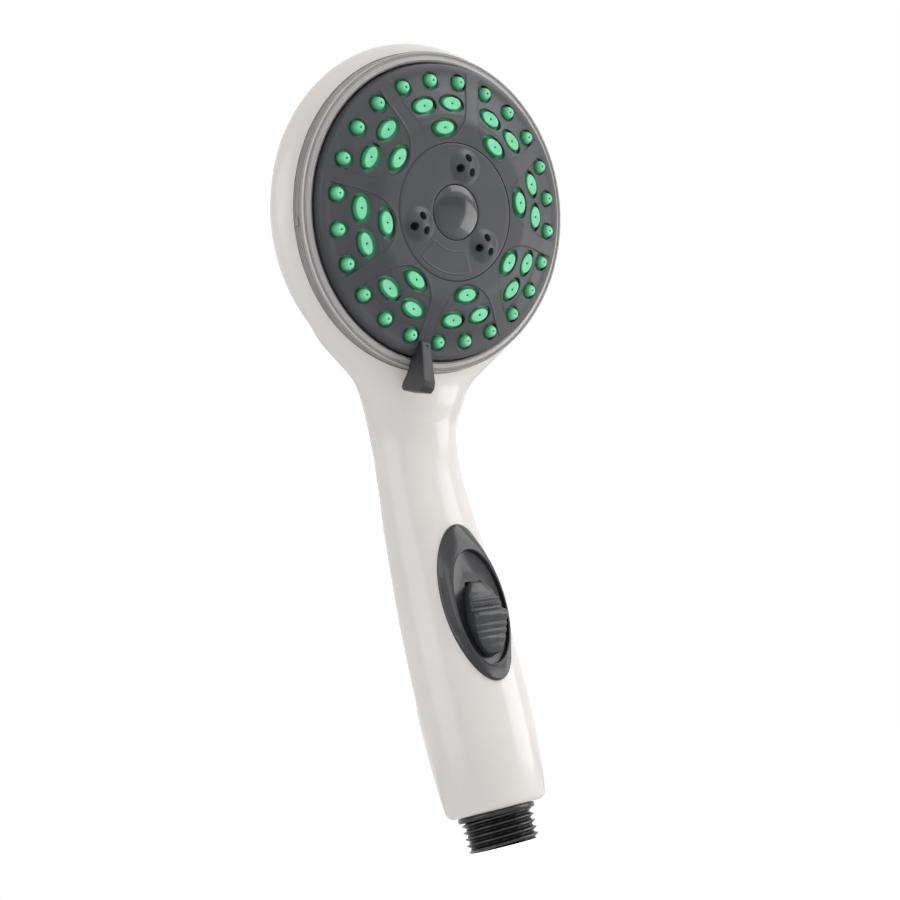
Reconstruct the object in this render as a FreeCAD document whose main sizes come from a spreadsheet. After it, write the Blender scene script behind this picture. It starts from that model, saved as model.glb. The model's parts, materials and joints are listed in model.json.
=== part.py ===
import FreeCAD, Part
import math
import os
import types

import Sketcher
from FreeCAD import Placement, Rotation, Vector

# Handheld shower head. Millimetres, +Z up along the handle and the inlet, spray side towards -Y.
# The origin is the centre of the inlet's end face. Head pieces are drawn in the head's own frame,
# whose +Z leaves the spray face and whose +Y points away from the handle.

drivingSizes = {
    # head: radii and depths, the depths measured along the spray axis from the face's reference plane
    "faceTilt": 25.0, "faceForward": 49.8, "faceHeight": 176.8,
    "headRadius": 50.8, "headBulgeDepth": 14.7, "rimRadius": 47.6, "rimDepth": 10.0,
    "cupDepth": 38.0, "cupCorner": 14.0, "wall": 2.2,
    "ringOuter": 47.1, "ringInner": 43.7, "ringSeatDepth": 13.0, "ringFront": 5.2,
    "manifoldRadius": 44.3, "manifoldSeatDepth": 16.7, "cavityRadius": 42.5,
    # face: nozzle pattern and plate
    "plateRadius": 43.3, "plateTop": 1.85, "plateFlat": 26.5, "plateBend": 38.5, "plateBendDepth": 2.15,
    "plateEdgeDepth": 2.9, "plateThick": 2.2, "skirtInner": 41.0, "skirtDepth": 11.5,
    "leverTurn": 12.0, "nozzleRing": 38.0, "midRing": 31.35, "innerRing": 24.3, "midSpread": 9.1,
    "nozzleBase": 1.95, "nozzleTip": 1.15, "nozzleHole": 2.6, "nozzleTipDepth": 0.3,
    "ovalLong": 3.7, "ovalShort": 2.35, "ovalGap": 0.45, "innerOvalTop": 1.0, "pinhole": 0.35,
    "matThick": 1.4, "matInner": 20.4, "matOuter": 40.7, "matGap": 0.05,
    "discRadius": 19.87, "discThick": 2.5, "discSkirtDepth": 6.4, "discSkirtWall": 1.4, "seamGap": 0.18,
    "jetRing": 13.7, "jetDome": 4.56, "jetRise": 1.9, "jetHole": 1.3, "jetHoleRing": 2.47,
    "capRadius": 8.1, "capRise": 1.0, "capLip": 1.3, "capSeatDepth": 0.15,
    # turbine, hub and water chambers
    "postRadius": 3.5, "postTop": 1.95, "hubRadius": 5.25, "hubTop": 2.05, "runningGap": 0.05,
    "turbineRadius": 17.6, "turbineFront": 1.25, "turbineThick": 3.0, "turbineHubWall": 1.3,
    "turbineWeb": 0.9, "bladeThick": 0.9, "turbineFloor": 4.8, "chamberFloor": 8.5, "chamberBack": 11.3,
    "chamberWall": 1.1, "diverterThick": 2.0, "portRing": 14.0, "portRadius": 2.2, "clickPitch": 24.0,
    "manifoldFront": 13.8, "washerRadius": 5.1, "washerThick": 0.6, "screwHead": 3.0, "screwHeadTall": 1.2,
    "screwShank": 1.4, "bossRing": 30.0, "bossRadius": 3.6,
    # handle and inlet
    "handleBottom": 10.2, "depthShare": 0.88, "footBevel": 1.8, "neckHeight": 124.0,
    "neckForward": 4.3, "neckHalfWidest": 14.4, "neckHalfDeep": 12.3,
    "threadRadius": 10.4775, "threadRoot": 9.32, "threadPitch": 1.814, "threadLength": 8.6,
    "threadChamfer": 0.25,
    "collarRadius": 11.3, "plugRadius": 10.2, "plugTop": 20.5, "mouthRadius": 6.8, "mouthDepth": 5.6,
    "filterRadius": 6.1, "filterPocket": 2.4, "restrictorRadius": 4.6, "restrictorPocket": 4.0,
    # waterways
    "tubeRadius": 4.8, "tubeBore": 3.6, "spigotRadius": 3.5, "spigotBore": 2.0, "spigotLength": 6.5,
    "tubeBack": 2.4, "ringWire": 0.42, "valveBottom": 51.0, "valveTop": 88.0, "valveHalfWidth": 6.8,
    "valveFront": 9.6, "valveBack": 7.9, "spoolForward": 5.0, "spoolRadius": 3.35, "spoolBore": 3.4,
    "portLow": 63.0, "portHigh": 70.0, "crossPort": 2.0, "neckTubeDepth": 22.4, "tubeBend": 30.0,
    # thumb slide and its surround
    "bezelHeight": 68.4, "bezelHalfLength": 23.8, "bezelHalfWidth": 10.7, "bezelFront": 17.8,
    "bezelCrown": 15.6, "openingMargin": 1.1, "recessHeight": 66.4, "recessHalfLength": 17.0,
    "recessHalfWidth": 8.5, "recessFloor": 15.4, "bezelFloorThick": 1.5, "slideTravel": 7.0,
    "thumbTop": 74.2, "thumbBottom": 51.9, "thumbHalfWidth": 5.5, "thumbFace": 19.2, "ribRise": 3.0,
    "neckHalfWidth": 2.9, "neckLow": 57.0, "neckHigh": 67.0, "carrierFront": 13.4, "carrierThick": 1.5,
    "carrierHalfWidth": 5.2, "carrierTop": 73.0, "forkLow": 40.0, "forkHigh": 43.0, "clearance": 0.3,
}


class Size:
    """A length or angle together with the sheet formula that gives it."""

    def __init__(self, value, formula=None):
        self.value = float(value)
        self.formula = formula or f"{float(value):.6f}"

    def __add__(self, other):
        other = asSize(other)
        return Size(self.value + other.value, f"({self.formula} + {other.formula})")

    def __sub__(self, other):
        other = asSize(other)
        return Size(self.value - other.value, f"({self.formula} - {other.formula})")

    def __mul__(self, other):
        other = asSize(other)
        return Size(self.value * other.value, f"({self.formula} * {other.formula})")

    def __truediv__(self, other):
        other = asSize(other)
        return Size(self.value / other.value, f"({self.formula} / {other.formula})")

    def __neg__(self):
        return Size(-self.value, f"(0 - {self.formula})")

    def __radd__(self, other):
        return asSize(other) + self

    def __rsub__(self, other):
        return asSize(other) - self

    def __rmul__(self, other):
        return asSize(other) * self


def asSize(number):
    return number if isinstance(number, Size) else Size(number)


def cosine(angle):
    return Size(math.cos(math.radians(angle.value)), f"cos({angle.formula})")


def sine(angle):
    return Size(math.sin(math.radians(angle.value)), f"sin({angle.formula})")


def root(number):
    return Size(math.sqrt(number.value), f"sqrt({number.formula})")


doc = FreeCAD.newDocument("ShowerHead")
sheet = doc.addObject("Spreadsheet::Sheet", "Sizes")
for line, (name, value) in enumerate(drivingSizes.items(), start=1):
    sheet.set(f"A{line}", name)
    sheet.set(f"B{line}", str(value))
    sheet.setAlias(f"B{line}", name)
doc.recompute()
s = types.SimpleNamespace(  # every size in the sheet, by its alias
    **{name: Size(sheet.getPropertyByName(name), f"Sizes.{name}") for name in drivingSizes})
pieces = []
acrossX = Vector(1, 0, 0)
alongY = Vector(0, 1, 0)
alongZ = Vector(0, 0, 1)
headTurn = 90 + s.faceTilt  # the head frame is the part's frame turned this much about X


# ---------- helpers ----------

def bind(thing, path, size):
    size = asSize(size)
    thing.setExpression(path, size.formula)
    return size.value


def place(thing, where=(0, 0, 0), axis=alongZ, angle=0, path="Placement"):
    """Puts a thing at bound coordinates and a bound turn about one axis."""
    at = Vector(*[asSize(c).value for c in where])
    setattr(thing, path, Placement(at, Rotation(axis, asSize(angle).value)))
    for letter, c in zip("xyz", where):
        if isinstance(c, Size):
            bind(thing, f".{path}.Base.{letter}", c)
    if isinstance(angle, Size):
        bind(thing, f".{path}.Rotation.Angle", angle)


def inHead(thing):
    place(thing, (0, -s.faceForward, s.faceHeight), acrossX, headTurn)
    return thing


def keep(thing, label):
    thing.Label = label
    pieces.append(thing)
    return thing


def newBody(label, head=False):
    body = keep(doc.addObject("PartDesign::Body", label.title().replace("_", "")), label)
    return inHead(body) if head else body


def originPart(body, role):
    return next(f for f in body.Origin.OriginFeatures if f.Role == role)


def newSketch(body, plane, where=(0, 0, 0), axis=alongZ, angle=0):
    sketch = body.newObject("Sketcher::SketchObject", "Sketch")
    sketch.AttachmentSupport = [(originPart(body, plane), "")]
    sketch.MapMode = "FlatFace"
    place(sketch, where, axis, angle, path="AttachmentOffset")
    return sketch


def pin(sketch, geo, pos, x, y):
    """Ties one point of a sketch to bound coordinates."""
    for letter, c, line in (("X", x, -2), ("Y", y, -1)):
        if not isinstance(c, Size) and c == 0:
            sketch.addConstraint(Sketcher.Constraint("PointOnObject", geo, pos, line))
        else:
            index = sketch.addConstraint(
                Sketcher.Constraint(f"Distance{letter}", geo, pos, asSize(c).value))
            bind(sketch, f"Constraints[{index}]", c)


def outline(sketch, corners):
    """A closed outline. A corner is (x, y), or (x, y, radius, side) when an arc leaves it: side is +1 where
    the arc bulges to the left of its way, -1 to the right."""
    points = [Vector(asSize(c[0]).value, asSize(c[1]).value, 0) for c in corners]
    ends = []
    for i, corner in enumerate(corners):
        a, b = points[i], points[(i + 1) % len(points)]
        if len(corner) == 2:
            geo = sketch.addGeometry(Part.LineSegment(a, b), False)
            ends.append((geo, 1, 2))
            continue
        radius, side = asSize(corner[2]), corner[3]
        half = (b - a) * 0.5
        left = Vector(-half.y, half.x, 0).normalize()
        reach = math.sqrt(max(radius.value ** 2 - half.Length ** 2, 0.0))
        centre = a + half - left * (reach * side)
        first, last = (b, a) if side > 0 else (a, b)
        angles = [math.atan2(p.y - centre.y, p.x - centre.x) for p in (first, last)]
        arc = Part.ArcOfCircle(Part.Circle(centre, alongZ, radius.value), angles[0], angles[1])
        geo = sketch.addGeometry(arc, False)
        index = sketch.addConstraint(Sketcher.Constraint("Radius", geo, radius.value))
        bind(sketch, f"Constraints[{index}]", radius)
        ends.append((geo, 2, 1) if side > 0 else (geo, 1, 2))
    for i, (geo, start, end) in enumerate(ends):
        follower = ends[(i + 1) % len(ends)]
        sketch.addConstraint(Sketcher.Constraint("Coincident", geo, end, follower[0], follower[1]))
        pin(sketch, geo, start, corners[i][0], corners[i][1])
    return sketch


def circle(sketch, x, y, radius):
    centre = Vector(asSize(x).value, asSize(y).value, 0)
    geo = sketch.addGeometry(Part.Circle(centre, alongZ, asSize(radius).value), False)
    pin(sketch, geo, 3, x, y)
    index = sketch.addConstraint(Sketcher.Constraint("Radius", geo, asSize(radius).value))
    bind(sketch, f"Constraints[{index}]", radius)
    return sketch


def ellipse(sketch, x, y, halfX, halfY):
    """An ellipse whose axes lie along the sketch's, with both half axes bound."""
    cx, cy, rx, ry = (asSize(v).value for v in (x, y, halfX, halfY))
    wide = rx >= ry
    major, minor = (halfX, halfY) if wide else (halfY, halfX)
    tip = Vector(cx + rx, cy, 0) if wide else Vector(cx, cy + ry, 0)
    side = Vector(cx, cy + ry, 0) if wide else Vector(cx - rx, cy, 0)
    geo = sketch.addGeometry(Part.Ellipse(tip, side, Vector(cx, cy, 0)), False)
    pin(sketch, geo, 3, x, y)
    sketch.exposeInternalGeometry(geo)
    longLine, shortLine = geo + 1, geo + 2
    for line, size in ((longLine, major), (shortLine, minor)):
        index = sketch.addConstraint(Sketcher.Constraint("Distance", line, 2 * asSize(size).value))
        bind(sketch, f"Constraints[{index}]", 2 * asSize(size))
    sketch.addConstraint(Sketcher.Constraint("Horizontal" if wide else "Vertical", longLine))
    return sketch


def feature(body, kind, profile, **settings):
    made = body.newObject(f"PartDesign::{kind}", kind)
    made.Profile = profile
    for name, value in settings.items():
        if isinstance(value, Size):
            setattr(made, name, value.value)
            bind(made, name, value)
        else:
            setattr(made, name, value)
    profile.Visibility = False
    body.Tip = made
    return made


def turned(body, kind, profile):
    return feature(body, kind, profile, ReferenceAxis=(profile, ["V_Axis"]), Angle=360.0)


def around(body, original, count, angle=360.0):
    """Repeats one feature about the body's Z axis."""
    pattern = body.newObject("PartDesign::PolarPattern", "PolarPattern")
    pattern.Originals = [original]
    pattern.Axis = (originPart(body, "Z_Axis"), [""])
    pattern.Angle = angle
    pattern.Occurrences = count
    body.Tip = pattern
    return pattern


def cutThrough(body, profile):
    return feature(body, "Pocket", profile, Type="ThroughAll")


def torusRing(label, radius, wire, where, axis=alongZ, angle=0):
    ring = doc.addObject("Part::Torus", "Torus")
    ring.Radius1 = bind(ring, "Radius1", radius)
    ring.Radius2 = bind(ring, "Radius2", wire)
    place(ring, where, axis, angle)
    return keep(ring, label) if label else ring


def cylinder(radius, height, where, axis=alongZ, angle=0):
    rod = doc.addObject("Part::Cylinder", "Cylinder")
    rod.Radius = bind(rod, "Radius", radius)
    rod.Height = bind(rod, "Height", height)
    place(rod, where, axis, angle)
    return rod


def group(label, members, kind="Part::Compound", slot="Links"):
    made = doc.addObject(kind, "Group")
    setattr(made, slot, members)
    return keep(made, label)


def headPoint(x, y, z):
    """The part-frame coordinates of a point of the head's frame."""
    c, n = cosine(s.faceTilt), sine(s.faceTilt)
    return (asSize(x), -s.faceForward - y * n - z * c, s.faceHeight + y * c - z * n)


# ---------- shared places ----------

leverAngle = -90 - s.leverTurn            # where the lever points, in the head's frame
petalAngle = leverAngle + 22.5            # the middle of one petal, an eighth of a turn apart
petals = 8
leverHalf, leverStart = asSize(1.9), asSize(38.6)
leverSeat = s.plateBendDepth + 1.2        # depth of the seat under the lever's foot
plateSlope = (s.plateTop + s.plateBendDepth) / (s.plateBend - s.plateFlat)


def matFront(radius):
    """Height of the nozzle mat's front on the sloped part of the plate."""
    return s.plateTop - (radius - s.plateFlat) * plateSlope - s.plateThick - s.matGap


# The handle's cross-sections above its foot: height, how far forward, half width.
handleForm = [(36.0, 1.5, 17.15), (58.0, 1.5, 17.15), (80.0, 1.2, 16.1), (102.0, 1.1, 14.45)]
handleFoot = (14.0, 1.0, 15.6)
ductFoot = (22.0, 1.35, 16.4)


def handleSections(inset, lowest=handleFoot):
    """Ellipses up the handle: height, how far forward, half width, half depth."""
    made = [(asSize(z), asSize(f), asSize(w) - inset, asSize(w) * s.depthShare - inset)
            for z, f, w in [lowest] + handleForm]
    made.append((s.neckHeight, s.neckForward, s.neckHalfWidest - inset, s.neckHalfDeep - inset))
    return made


# How the neck spreads into the cup, in the head's frame:
# across the face, middle depth, half width, half depth.
neckSpread = [(50.5, 19.4, 21.2, 11.1), (44.5, 18.7, 27.2, 10.8), (38.5, 18.0, 32.4, 10.3)]
ductSpread = [(50.5, 22.5, 18.4, 5.6), (44.5, 22.2, 23.5, 5.4), (36.5, 22.0, 26.0, 5.2)]


def handleSketches(body, sections):
    return [ellipse(newSketch(body, "XY_Plane", (0, -forward, z)), 0, 0, halfX, halfY)
            for z, forward, halfX, halfY in sections]


def neckSketches(body, spread, inset, duct):
    """Ellipses from the top of the handle round the neck into the cup."""
    sketches = handleSketches(body, handleSections(inset)[-1:])
    middle = (0, asSize(-7.6 + 1.2 * duct), s.neckHeight + 7.7)
    bend = newSketch(body, "XY_Plane", middle, acrossX, s.faceTilt / 2)
    sketches.append(ellipse(bend, 0, 0, 16.7 - inset, 11.7 - inset - 1.2 * duct))
    for y, depth, halfX, halfY in spread:
        where = headPoint(0, asSize(-y), asSize(-depth))
        sketch = newSketch(body, "XY_Plane", (0, where[1], where[2]), acrossX, s.faceTilt)
        sketches.append(ellipse(sketch, 0, 0, asSize(halfX), asSize(halfY)))
    return sketches


def loft(body, kind, sketches, ruled=False):
    return feature(body, kind, sketches[0], Sections=sketches[1:], Ruled=ruled)


def headSketch(body):
    """A sketch in the part's frame that holds the spray axis: across the head by along the spray."""
    return newSketch(body, "XZ_Plane", (0, s.faceHeight, s.faceForward), acrossX, headTurn)


def bossPlaces():
    """Where the three screws hold the manifold to the housing, across the face."""
    return [(s.bossRing * cosine(Size(turn)), s.bossRing * sine(Size(turn))) for turn in (30, 150, 330)]


def sprayWays():
    """The ways through the turning discs, one per stop: its angle, and the radii of the chambers it feeds."""
    fed = ((11.5,), (24.5,), (37.7,), (31.4,), (11.5, 37.7), (24.5, 31.4))
    return [(-90 - s.clickPitch * (k - 2), outlets) for k, outlets in enumerate(fed)]


# ---------- root: housing and trim ----------

def handleShell():
    body = newBody("handle_shell")
    domeRadius = ((s.headRadius - s.cupCorner) * (s.headRadius - s.cupCorner)
                  + (s.cupDepth - s.headBulgeDepth) * (s.cupDepth - s.headBulgeDepth)
                  - s.cupCorner * s.cupCorner) / (2 * (s.cupDepth - s.headBulgeDepth - s.cupCorner))
    domeCentre = domeRadius - s.cupDepth
    touch = domeRadius / (domeRadius - s.cupCorner)  # where the corner meets the dome
    touchRadius = (s.headRadius - s.cupCorner) * touch
    touchDepth = domeCentre - (domeCentre + s.headBulgeDepth) * touch
    bulge = s.headBulgeDepth - s.rimDepth
    step = s.headRadius - s.rimRadius
    bulgeArc = (bulge * bulge + step * step) / (2 * step)

    solid = handleSections(asSize(0))
    loft(body, "AdditiveLoft", handleSketches(body, solid))
    loft(body, "AdditiveLoft", neckSketches(body, neckSpread, asSize(0), 0))
    z, forward, halfX, halfY = solid[0]
    bevelTop = s.handleBottom + s.footBevel
    foot = [(z, forward, halfX, halfY), (bevelTop, forward - 0.1, halfX - 0.35, halfY - 0.35),
            (s.handleBottom, forward - 0.1, halfX - s.footBevel, halfY - s.footBevel)]
    loft(body, "AdditiveLoft", handleSketches(body, foot), ruled=True)

    cup = outline(headSketch(body), [
        (0, -s.rimDepth), (s.rimRadius, -s.rimDepth, bulgeArc, 1),
        (s.headRadius, -s.headBulgeDepth, s.cupCorner, 1), (touchRadius, touchDepth, domeRadius, 1),
        (0, -s.cupDepth)])
    turned(body, "Revolution", cup)

    loft(body, "SubtractiveLoft", handleSketches(body, handleSections(s.wall, ductFoot)))
    loft(body, "SubtractiveLoft", neckSketches(body, ductSpread, s.wall, 1))
    innerDome = domeRadius - s.wall
    innerEdge = s.cavityRadius - 4.5
    innerDepth = domeCentre - root(innerDome * innerDome - innerEdge * innerEdge)
    front = 8.0  # clear of the rim
    cavity = outline(headSketch(body), [
        (0, asSize(front)), (s.ringOuter + s.matGap * 2, asSize(front)),
        (s.ringOuter + s.matGap * 2, -s.ringSeatDepth), (s.manifoldRadius + s.matGap * 2, -s.ringSeatDepth),
        (s.manifoldRadius + s.matGap * 2, -s.manifoldSeatDepth), (s.cavityRadius, -s.manifoldSeatDepth),
        (s.cavityRadius, innerDepth + 5.0), (innerEdge, innerDepth, innerDome, 1),
        (0, s.wall - s.cupDepth)])
    turned(body, "Groove", cavity)

    socket = newSketch(body, "XY_Plane", (0, 0, s.plugTop + s.clearance))
    circle(socket, 0, 0, s.plugRadius + s.matGap)
    feature(body, "Pocket", socket, Length=s.plugTop)
    room = circle(newSketch(body, "XY_Plane", (0, 0, ductFoot[0] + 1.0)), 0, 0, s.plugRadius + s.matGap)
    feature(body, "Pocket", room, Length=asSize(4.0))
    opening = newSketch(body, "XZ_Plane", (0, 0, s.valveFront))
    ellipse(opening, 0, s.bezelHeight,
            s.bezelHalfWidth - s.openingMargin, s.bezelHalfLength - s.openingMargin)
    feature(body, "Pocket", opening, Length=asSize(12.0), Reversed=True)

    bossEdge = s.bossRing + s.bossRadius
    bossDepth = domeCentre - root(domeRadius * domeRadius - bossEdge * bossEdge) + 0.4
    top = -s.manifoldSeatDepth - s.matGap
    for x, y in bossPlaces():
        # this plane lies across the spray axis: its Y runs up the face
        base = newSketch(body, "XZ_Plane", (0, s.faceHeight - top * sine(s.faceTilt),
                                            s.faceForward + top * cosine(s.faceTilt)), acrossX, s.faceTilt)
        feature(body, "Pad", circle(base, x, y, s.bossRadius), Length=top - bossDepth, Reversed=True)
        pilot = newSketch(body, "XZ_Plane", (0, s.faceHeight - top * sine(s.faceTilt),
                                             s.faceForward + top * cosine(s.faceTilt)), acrossX, s.faceTilt)
        feature(body, "Pocket", circle(pilot, x, y, s.screwShank + s.matGap), Length=asSize(6.6))
    return body


def clearRing():
    body = newBody("clear_ring", head=True)
    front = -s.ringFront
    ring = outline(newSketch(body, "XZ_Plane"), [
        (s.ringInner, front), (s.ringInner + 1.5, front), (s.ringInner + 1.9, front - 0.5),
        (s.ringOuter - 0.2, front - 0.7), (s.ringOuter, -s.rimDepth), (s.ringOuter, -s.ringSeatDepth),
        (s.ringInner, -s.ringSeatDepth)])
    turned(body, "Revolution", ring)
    return body


# ---------- root: inlet and waterways ----------

def inletFitting():
    body = newBody("inlet_fitting")
    crest, lead = s.threadPitch * 0.16, s.threadPitch * 0.42
    edge = [(s.mouthRadius, 0), (s.threadRadius - s.threadChamfer, 0)]
    groove = s.plugRadius - 2 * s.ringWire - 0.1
    for turn in range(5):
        low = turn * s.threadPitch + s.threadChamfer
        edge += [(s.threadRadius, low), (s.threadRadius, low + crest), (s.threadRoot, low + crest + lead)]
    top = s.handleBottom - s.matGap * 2
    edge += [(s.threadRoot, s.threadLength), (s.collarRadius - 0.5, s.threadLength),
             (s.collarRadius, top - 0.5),
             (s.collarRadius, top), (s.plugRadius, top), (s.plugRadius, top + 3.0),
             (groove, top + 3.0), (groove, top + 4.0),
             (s.plugRadius, top + 4.0), (s.plugRadius, s.plugTop),
             (0, s.plugTop), (0, s.mouthDepth + s.filterPocket + s.restrictorPocket),
             (s.restrictorRadius + s.matGap, s.mouthDepth + s.filterPocket + s.restrictorPocket),
             (s.restrictorRadius + s.matGap, s.mouthDepth + s.filterPocket),
             (s.filterRadius + s.matGap, s.mouthDepth + s.filterPocket),
             (s.filterRadius + s.matGap, s.mouthDepth), (s.mouthRadius, s.mouthDepth)]
    turned(body, "Revolution", outline(newSketch(body, "XZ_Plane"), edge))
    spigot = circle(newSketch(body, "XY_Plane", (0, 0, s.plugTop - 1.0)), 0, s.tubeBack, s.spigotRadius)
    feature(body, "Pad", spigot, Length=s.spigotLength + 1.0)
    bore = newSketch(body, "XY_Plane", (0, 0, s.plugTop + s.spigotLength))
    circle(bore, 0, s.tubeBack, s.spigotBore)
    feature(body, "Pocket", bore, Length=s.plugTop + s.spigotLength - s.mouthDepth - s.filterPocket - 1.0)
    spigotGroove(body, s.plugTop + s.spigotLength / 2)
    return body


def spigotGroove(body, height):
    """The groove of one O-ring on an upright spigot at the given height."""
    profile = newSketch(body, "XZ_Plane", (0, 0, -s.tubeBack))
    outline(profile, [(s.spigotRadius - 2 * s.ringWire, height - s.ringWire * 1.2),
                      (s.spigotRadius + 1.0, height - s.ringWire * 1.2),
                      (s.spigotRadius + 1.0, height + s.ringWire * 1.2),
                      (s.spigotRadius - 2 * s.ringWire, height + s.ringWire * 1.2)])
    return turned(body, "Groove", profile)


def inletFilter():
    body = newBody("inlet_filter")
    disc = circle(newSketch(body, "XY_Plane", (0, 0, s.mouthDepth + 0.1)), 0, 0, s.filterRadius)
    feature(body, "Pad", disc, Length=asSize(0.8))
    hole = circle(newSketch(body, "XY_Plane", (0, 0, s.mouthDepth + 2.0)), s.filterRadius * 0.33, 0, 0.7)
    first = cutThrough(body, hole)
    around(body, first, 6)
    outer = circle(newSketch(body, "XY_Plane", (0, 0, s.mouthDepth + 2.0)), s.filterRadius * 0.68, 0, 0.7)
    second = cutThrough(body, outer)
    around(body, second, 12)
    return body


def flowRestrictor():
    body = newBody("flow_restrictor")
    low = s.mouthDepth + s.filterPocket
    turned(body, "Revolution", outline(newSketch(body, "XZ_Plane"), [
        (1.3, low + 0.1), (s.restrictorRadius, low + 0.1), (s.restrictorRadius, low + 1.6),
        (s.restrictorRadius - 1.2, low + 3.0), (1.3, low + 3.0)]))
    return body


def inletSeal():
    height = s.handleBottom - s.matGap * 2 + 3.5
    return torusRing("inlet_seal", s.plugRadius - s.ringWire - 0.04, s.ringWire, (0, 0, height))


def lowerTube():
    body = newBody("lower_tube")
    low = s.plugTop + s.matGap * 2
    ring = newSketch(body, "XY_Plane", (0, 0, low))
    circle(ring, 0, s.tubeBack, s.tubeRadius)
    circle(ring, 0, s.tubeBack, s.tubeBore)
    feature(body, "Pad", ring, Length=s.valveBottom - s.matGap * 2 - low)
    return body


def valveBody():
    body = newBody("valve_body")
    block = newSketch(body, "XY_Plane", (0, 0, s.valveBottom))
    corner = 3.0
    w, f, b = s.valveHalfWidth, s.valveFront, s.valveBack
    outline(block, [(-w, -f), (w, -f), (w, b - corner), (w - corner, b), (-w + corner, b), (-w, b - corner)])
    feature(body, "Pad", block, Length=s.valveTop - s.valveBottom)
    for z in (s.valveBottom - s.spigotLength, s.valveTop - 1.0):
        spigot = circle(newSketch(body, "XY_Plane", (0, 0, z)), 0, s.tubeBack, s.spigotRadius)
        feature(body, "Pad", spigot, Length=s.spigotLength + 1.0)
    wallHalf = 1.5
    middle = (s.portLow + s.portHigh) / 2
    for low, high in ((s.valveBottom - s.spigotLength, middle - wallHalf),
                      (middle + wallHalf, s.valveTop + s.spigotLength)):
        bore = circle(newSketch(body, "XY_Plane", (0, 0, high)), 0, s.tubeBack, s.spigotBore)
        feature(body, "Pocket", bore, Length=high - low)
    spoolWay = circle(newSketch(body, "XY_Plane", (0, 0, s.valveTop - 3.0)), 0, -s.spoolForward, s.spoolBore)
    feature(body, "Pocket", spoolWay, Length=s.valveTop - s.valveBottom)
    for z in (s.portLow, s.portHigh):
        cross = circle(newSketch(body, "XZ_Plane", (0, 0, s.spoolForward)), 0, z, s.crossPort)
        feature(body, "Pocket", cross, Length=s.spoolForward + s.tubeBack)
    for z in (s.valveBottom - s.spigotLength / 2, s.valveTop + s.spigotLength / 2):
        spigotGroove(body, z)
    return body


def upperTube():
    """Straight up from the valve, one bend at the neck, then straight to the manifold's spigot."""
    body = newBody("upper_tube")
    start = s.valveTop + s.matGap * 2
    c, n = cosine(s.faceTilt), sine(s.faceTilt)
    end = headPoint(0, asSize(-26.2), -s.neckTubeDepth)
    along = (end[1] - s.tubeBack) / n          # distance from the bend's corner to the end, negative
    cornerZ = end[2] + along * c
    cut = s.tubeBend * sine(s.faceTilt / 2) / cosine(s.faceTilt / 2)
    spine = newSketch(body, "YZ_Plane")
    a = (s.tubeBack, start)
    b = (s.tubeBack, cornerZ - cut)
    d = (s.tubeBack - cut * n, cornerZ + cut * c)
    e = (end[1], end[2])
    pts = [Vector(p[0].value, p[1].value, 0) for p in (a, b, d, e)]
    first = sketchLine(spine, pts[0], pts[1])
    centre = Vector(s.tubeBack.value - s.tubeBend.value, b[1].value, 0)
    arc = spine.addGeometry(Part.ArcOfCircle(
        Part.Circle(centre, alongZ, s.tubeBend.value), 0.0, math.radians(s.faceTilt.value)), False)
    last = sketchLine(spine, pts[2], pts[3])
    spine.addConstraint(Sketcher.Constraint("Coincident", first, 2, arc, 1))
    spine.addConstraint(Sketcher.Constraint("Coincident", arc, 2, last, 1))
    index = spine.addConstraint(Sketcher.Constraint("Radius", arc, s.tubeBend.value))
    bind(spine, f"Constraints[{index}]", s.tubeBend)
    pin(spine, first, 1, *a)
    pin(spine, first, 2, *b)
    pin(spine, arc, 2, *d)
    pin(spine, last, 2, *e)
    profile = newSketch(body, "XY_Plane", (0, s.tubeBack, start))
    circle(profile, 0, 0, s.tubeRadius)
    circle(profile, 0, 0, s.tubeBore)
    feature(body, "AdditivePipe", profile, Spine=spine)
    return body


def sketchLine(sketch, a, b):
    return sketch.addGeometry(Part.LineSegment(a, b), False)


def tubeSeals():
    """One O-ring on each spigot, where a tube pushes over it."""
    ring, wire = s.spigotRadius - s.ringWire + 0.06, s.ringWire
    rings = [torusRing(None, ring, wire, (0, s.tubeBack, z)) for z in (
        s.plugTop + s.spigotLength / 2, s.valveBottom - s.spigotLength / 2, s.valveTop + s.spigotLength / 2)]
    atHead = headPoint(0, asSize(-29.4), -s.neckTubeDepth)
    rings.append(torusRing(None, ring, wire, atHead, acrossX, s.faceTilt))
    return group("tube_seals", rings)


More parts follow.
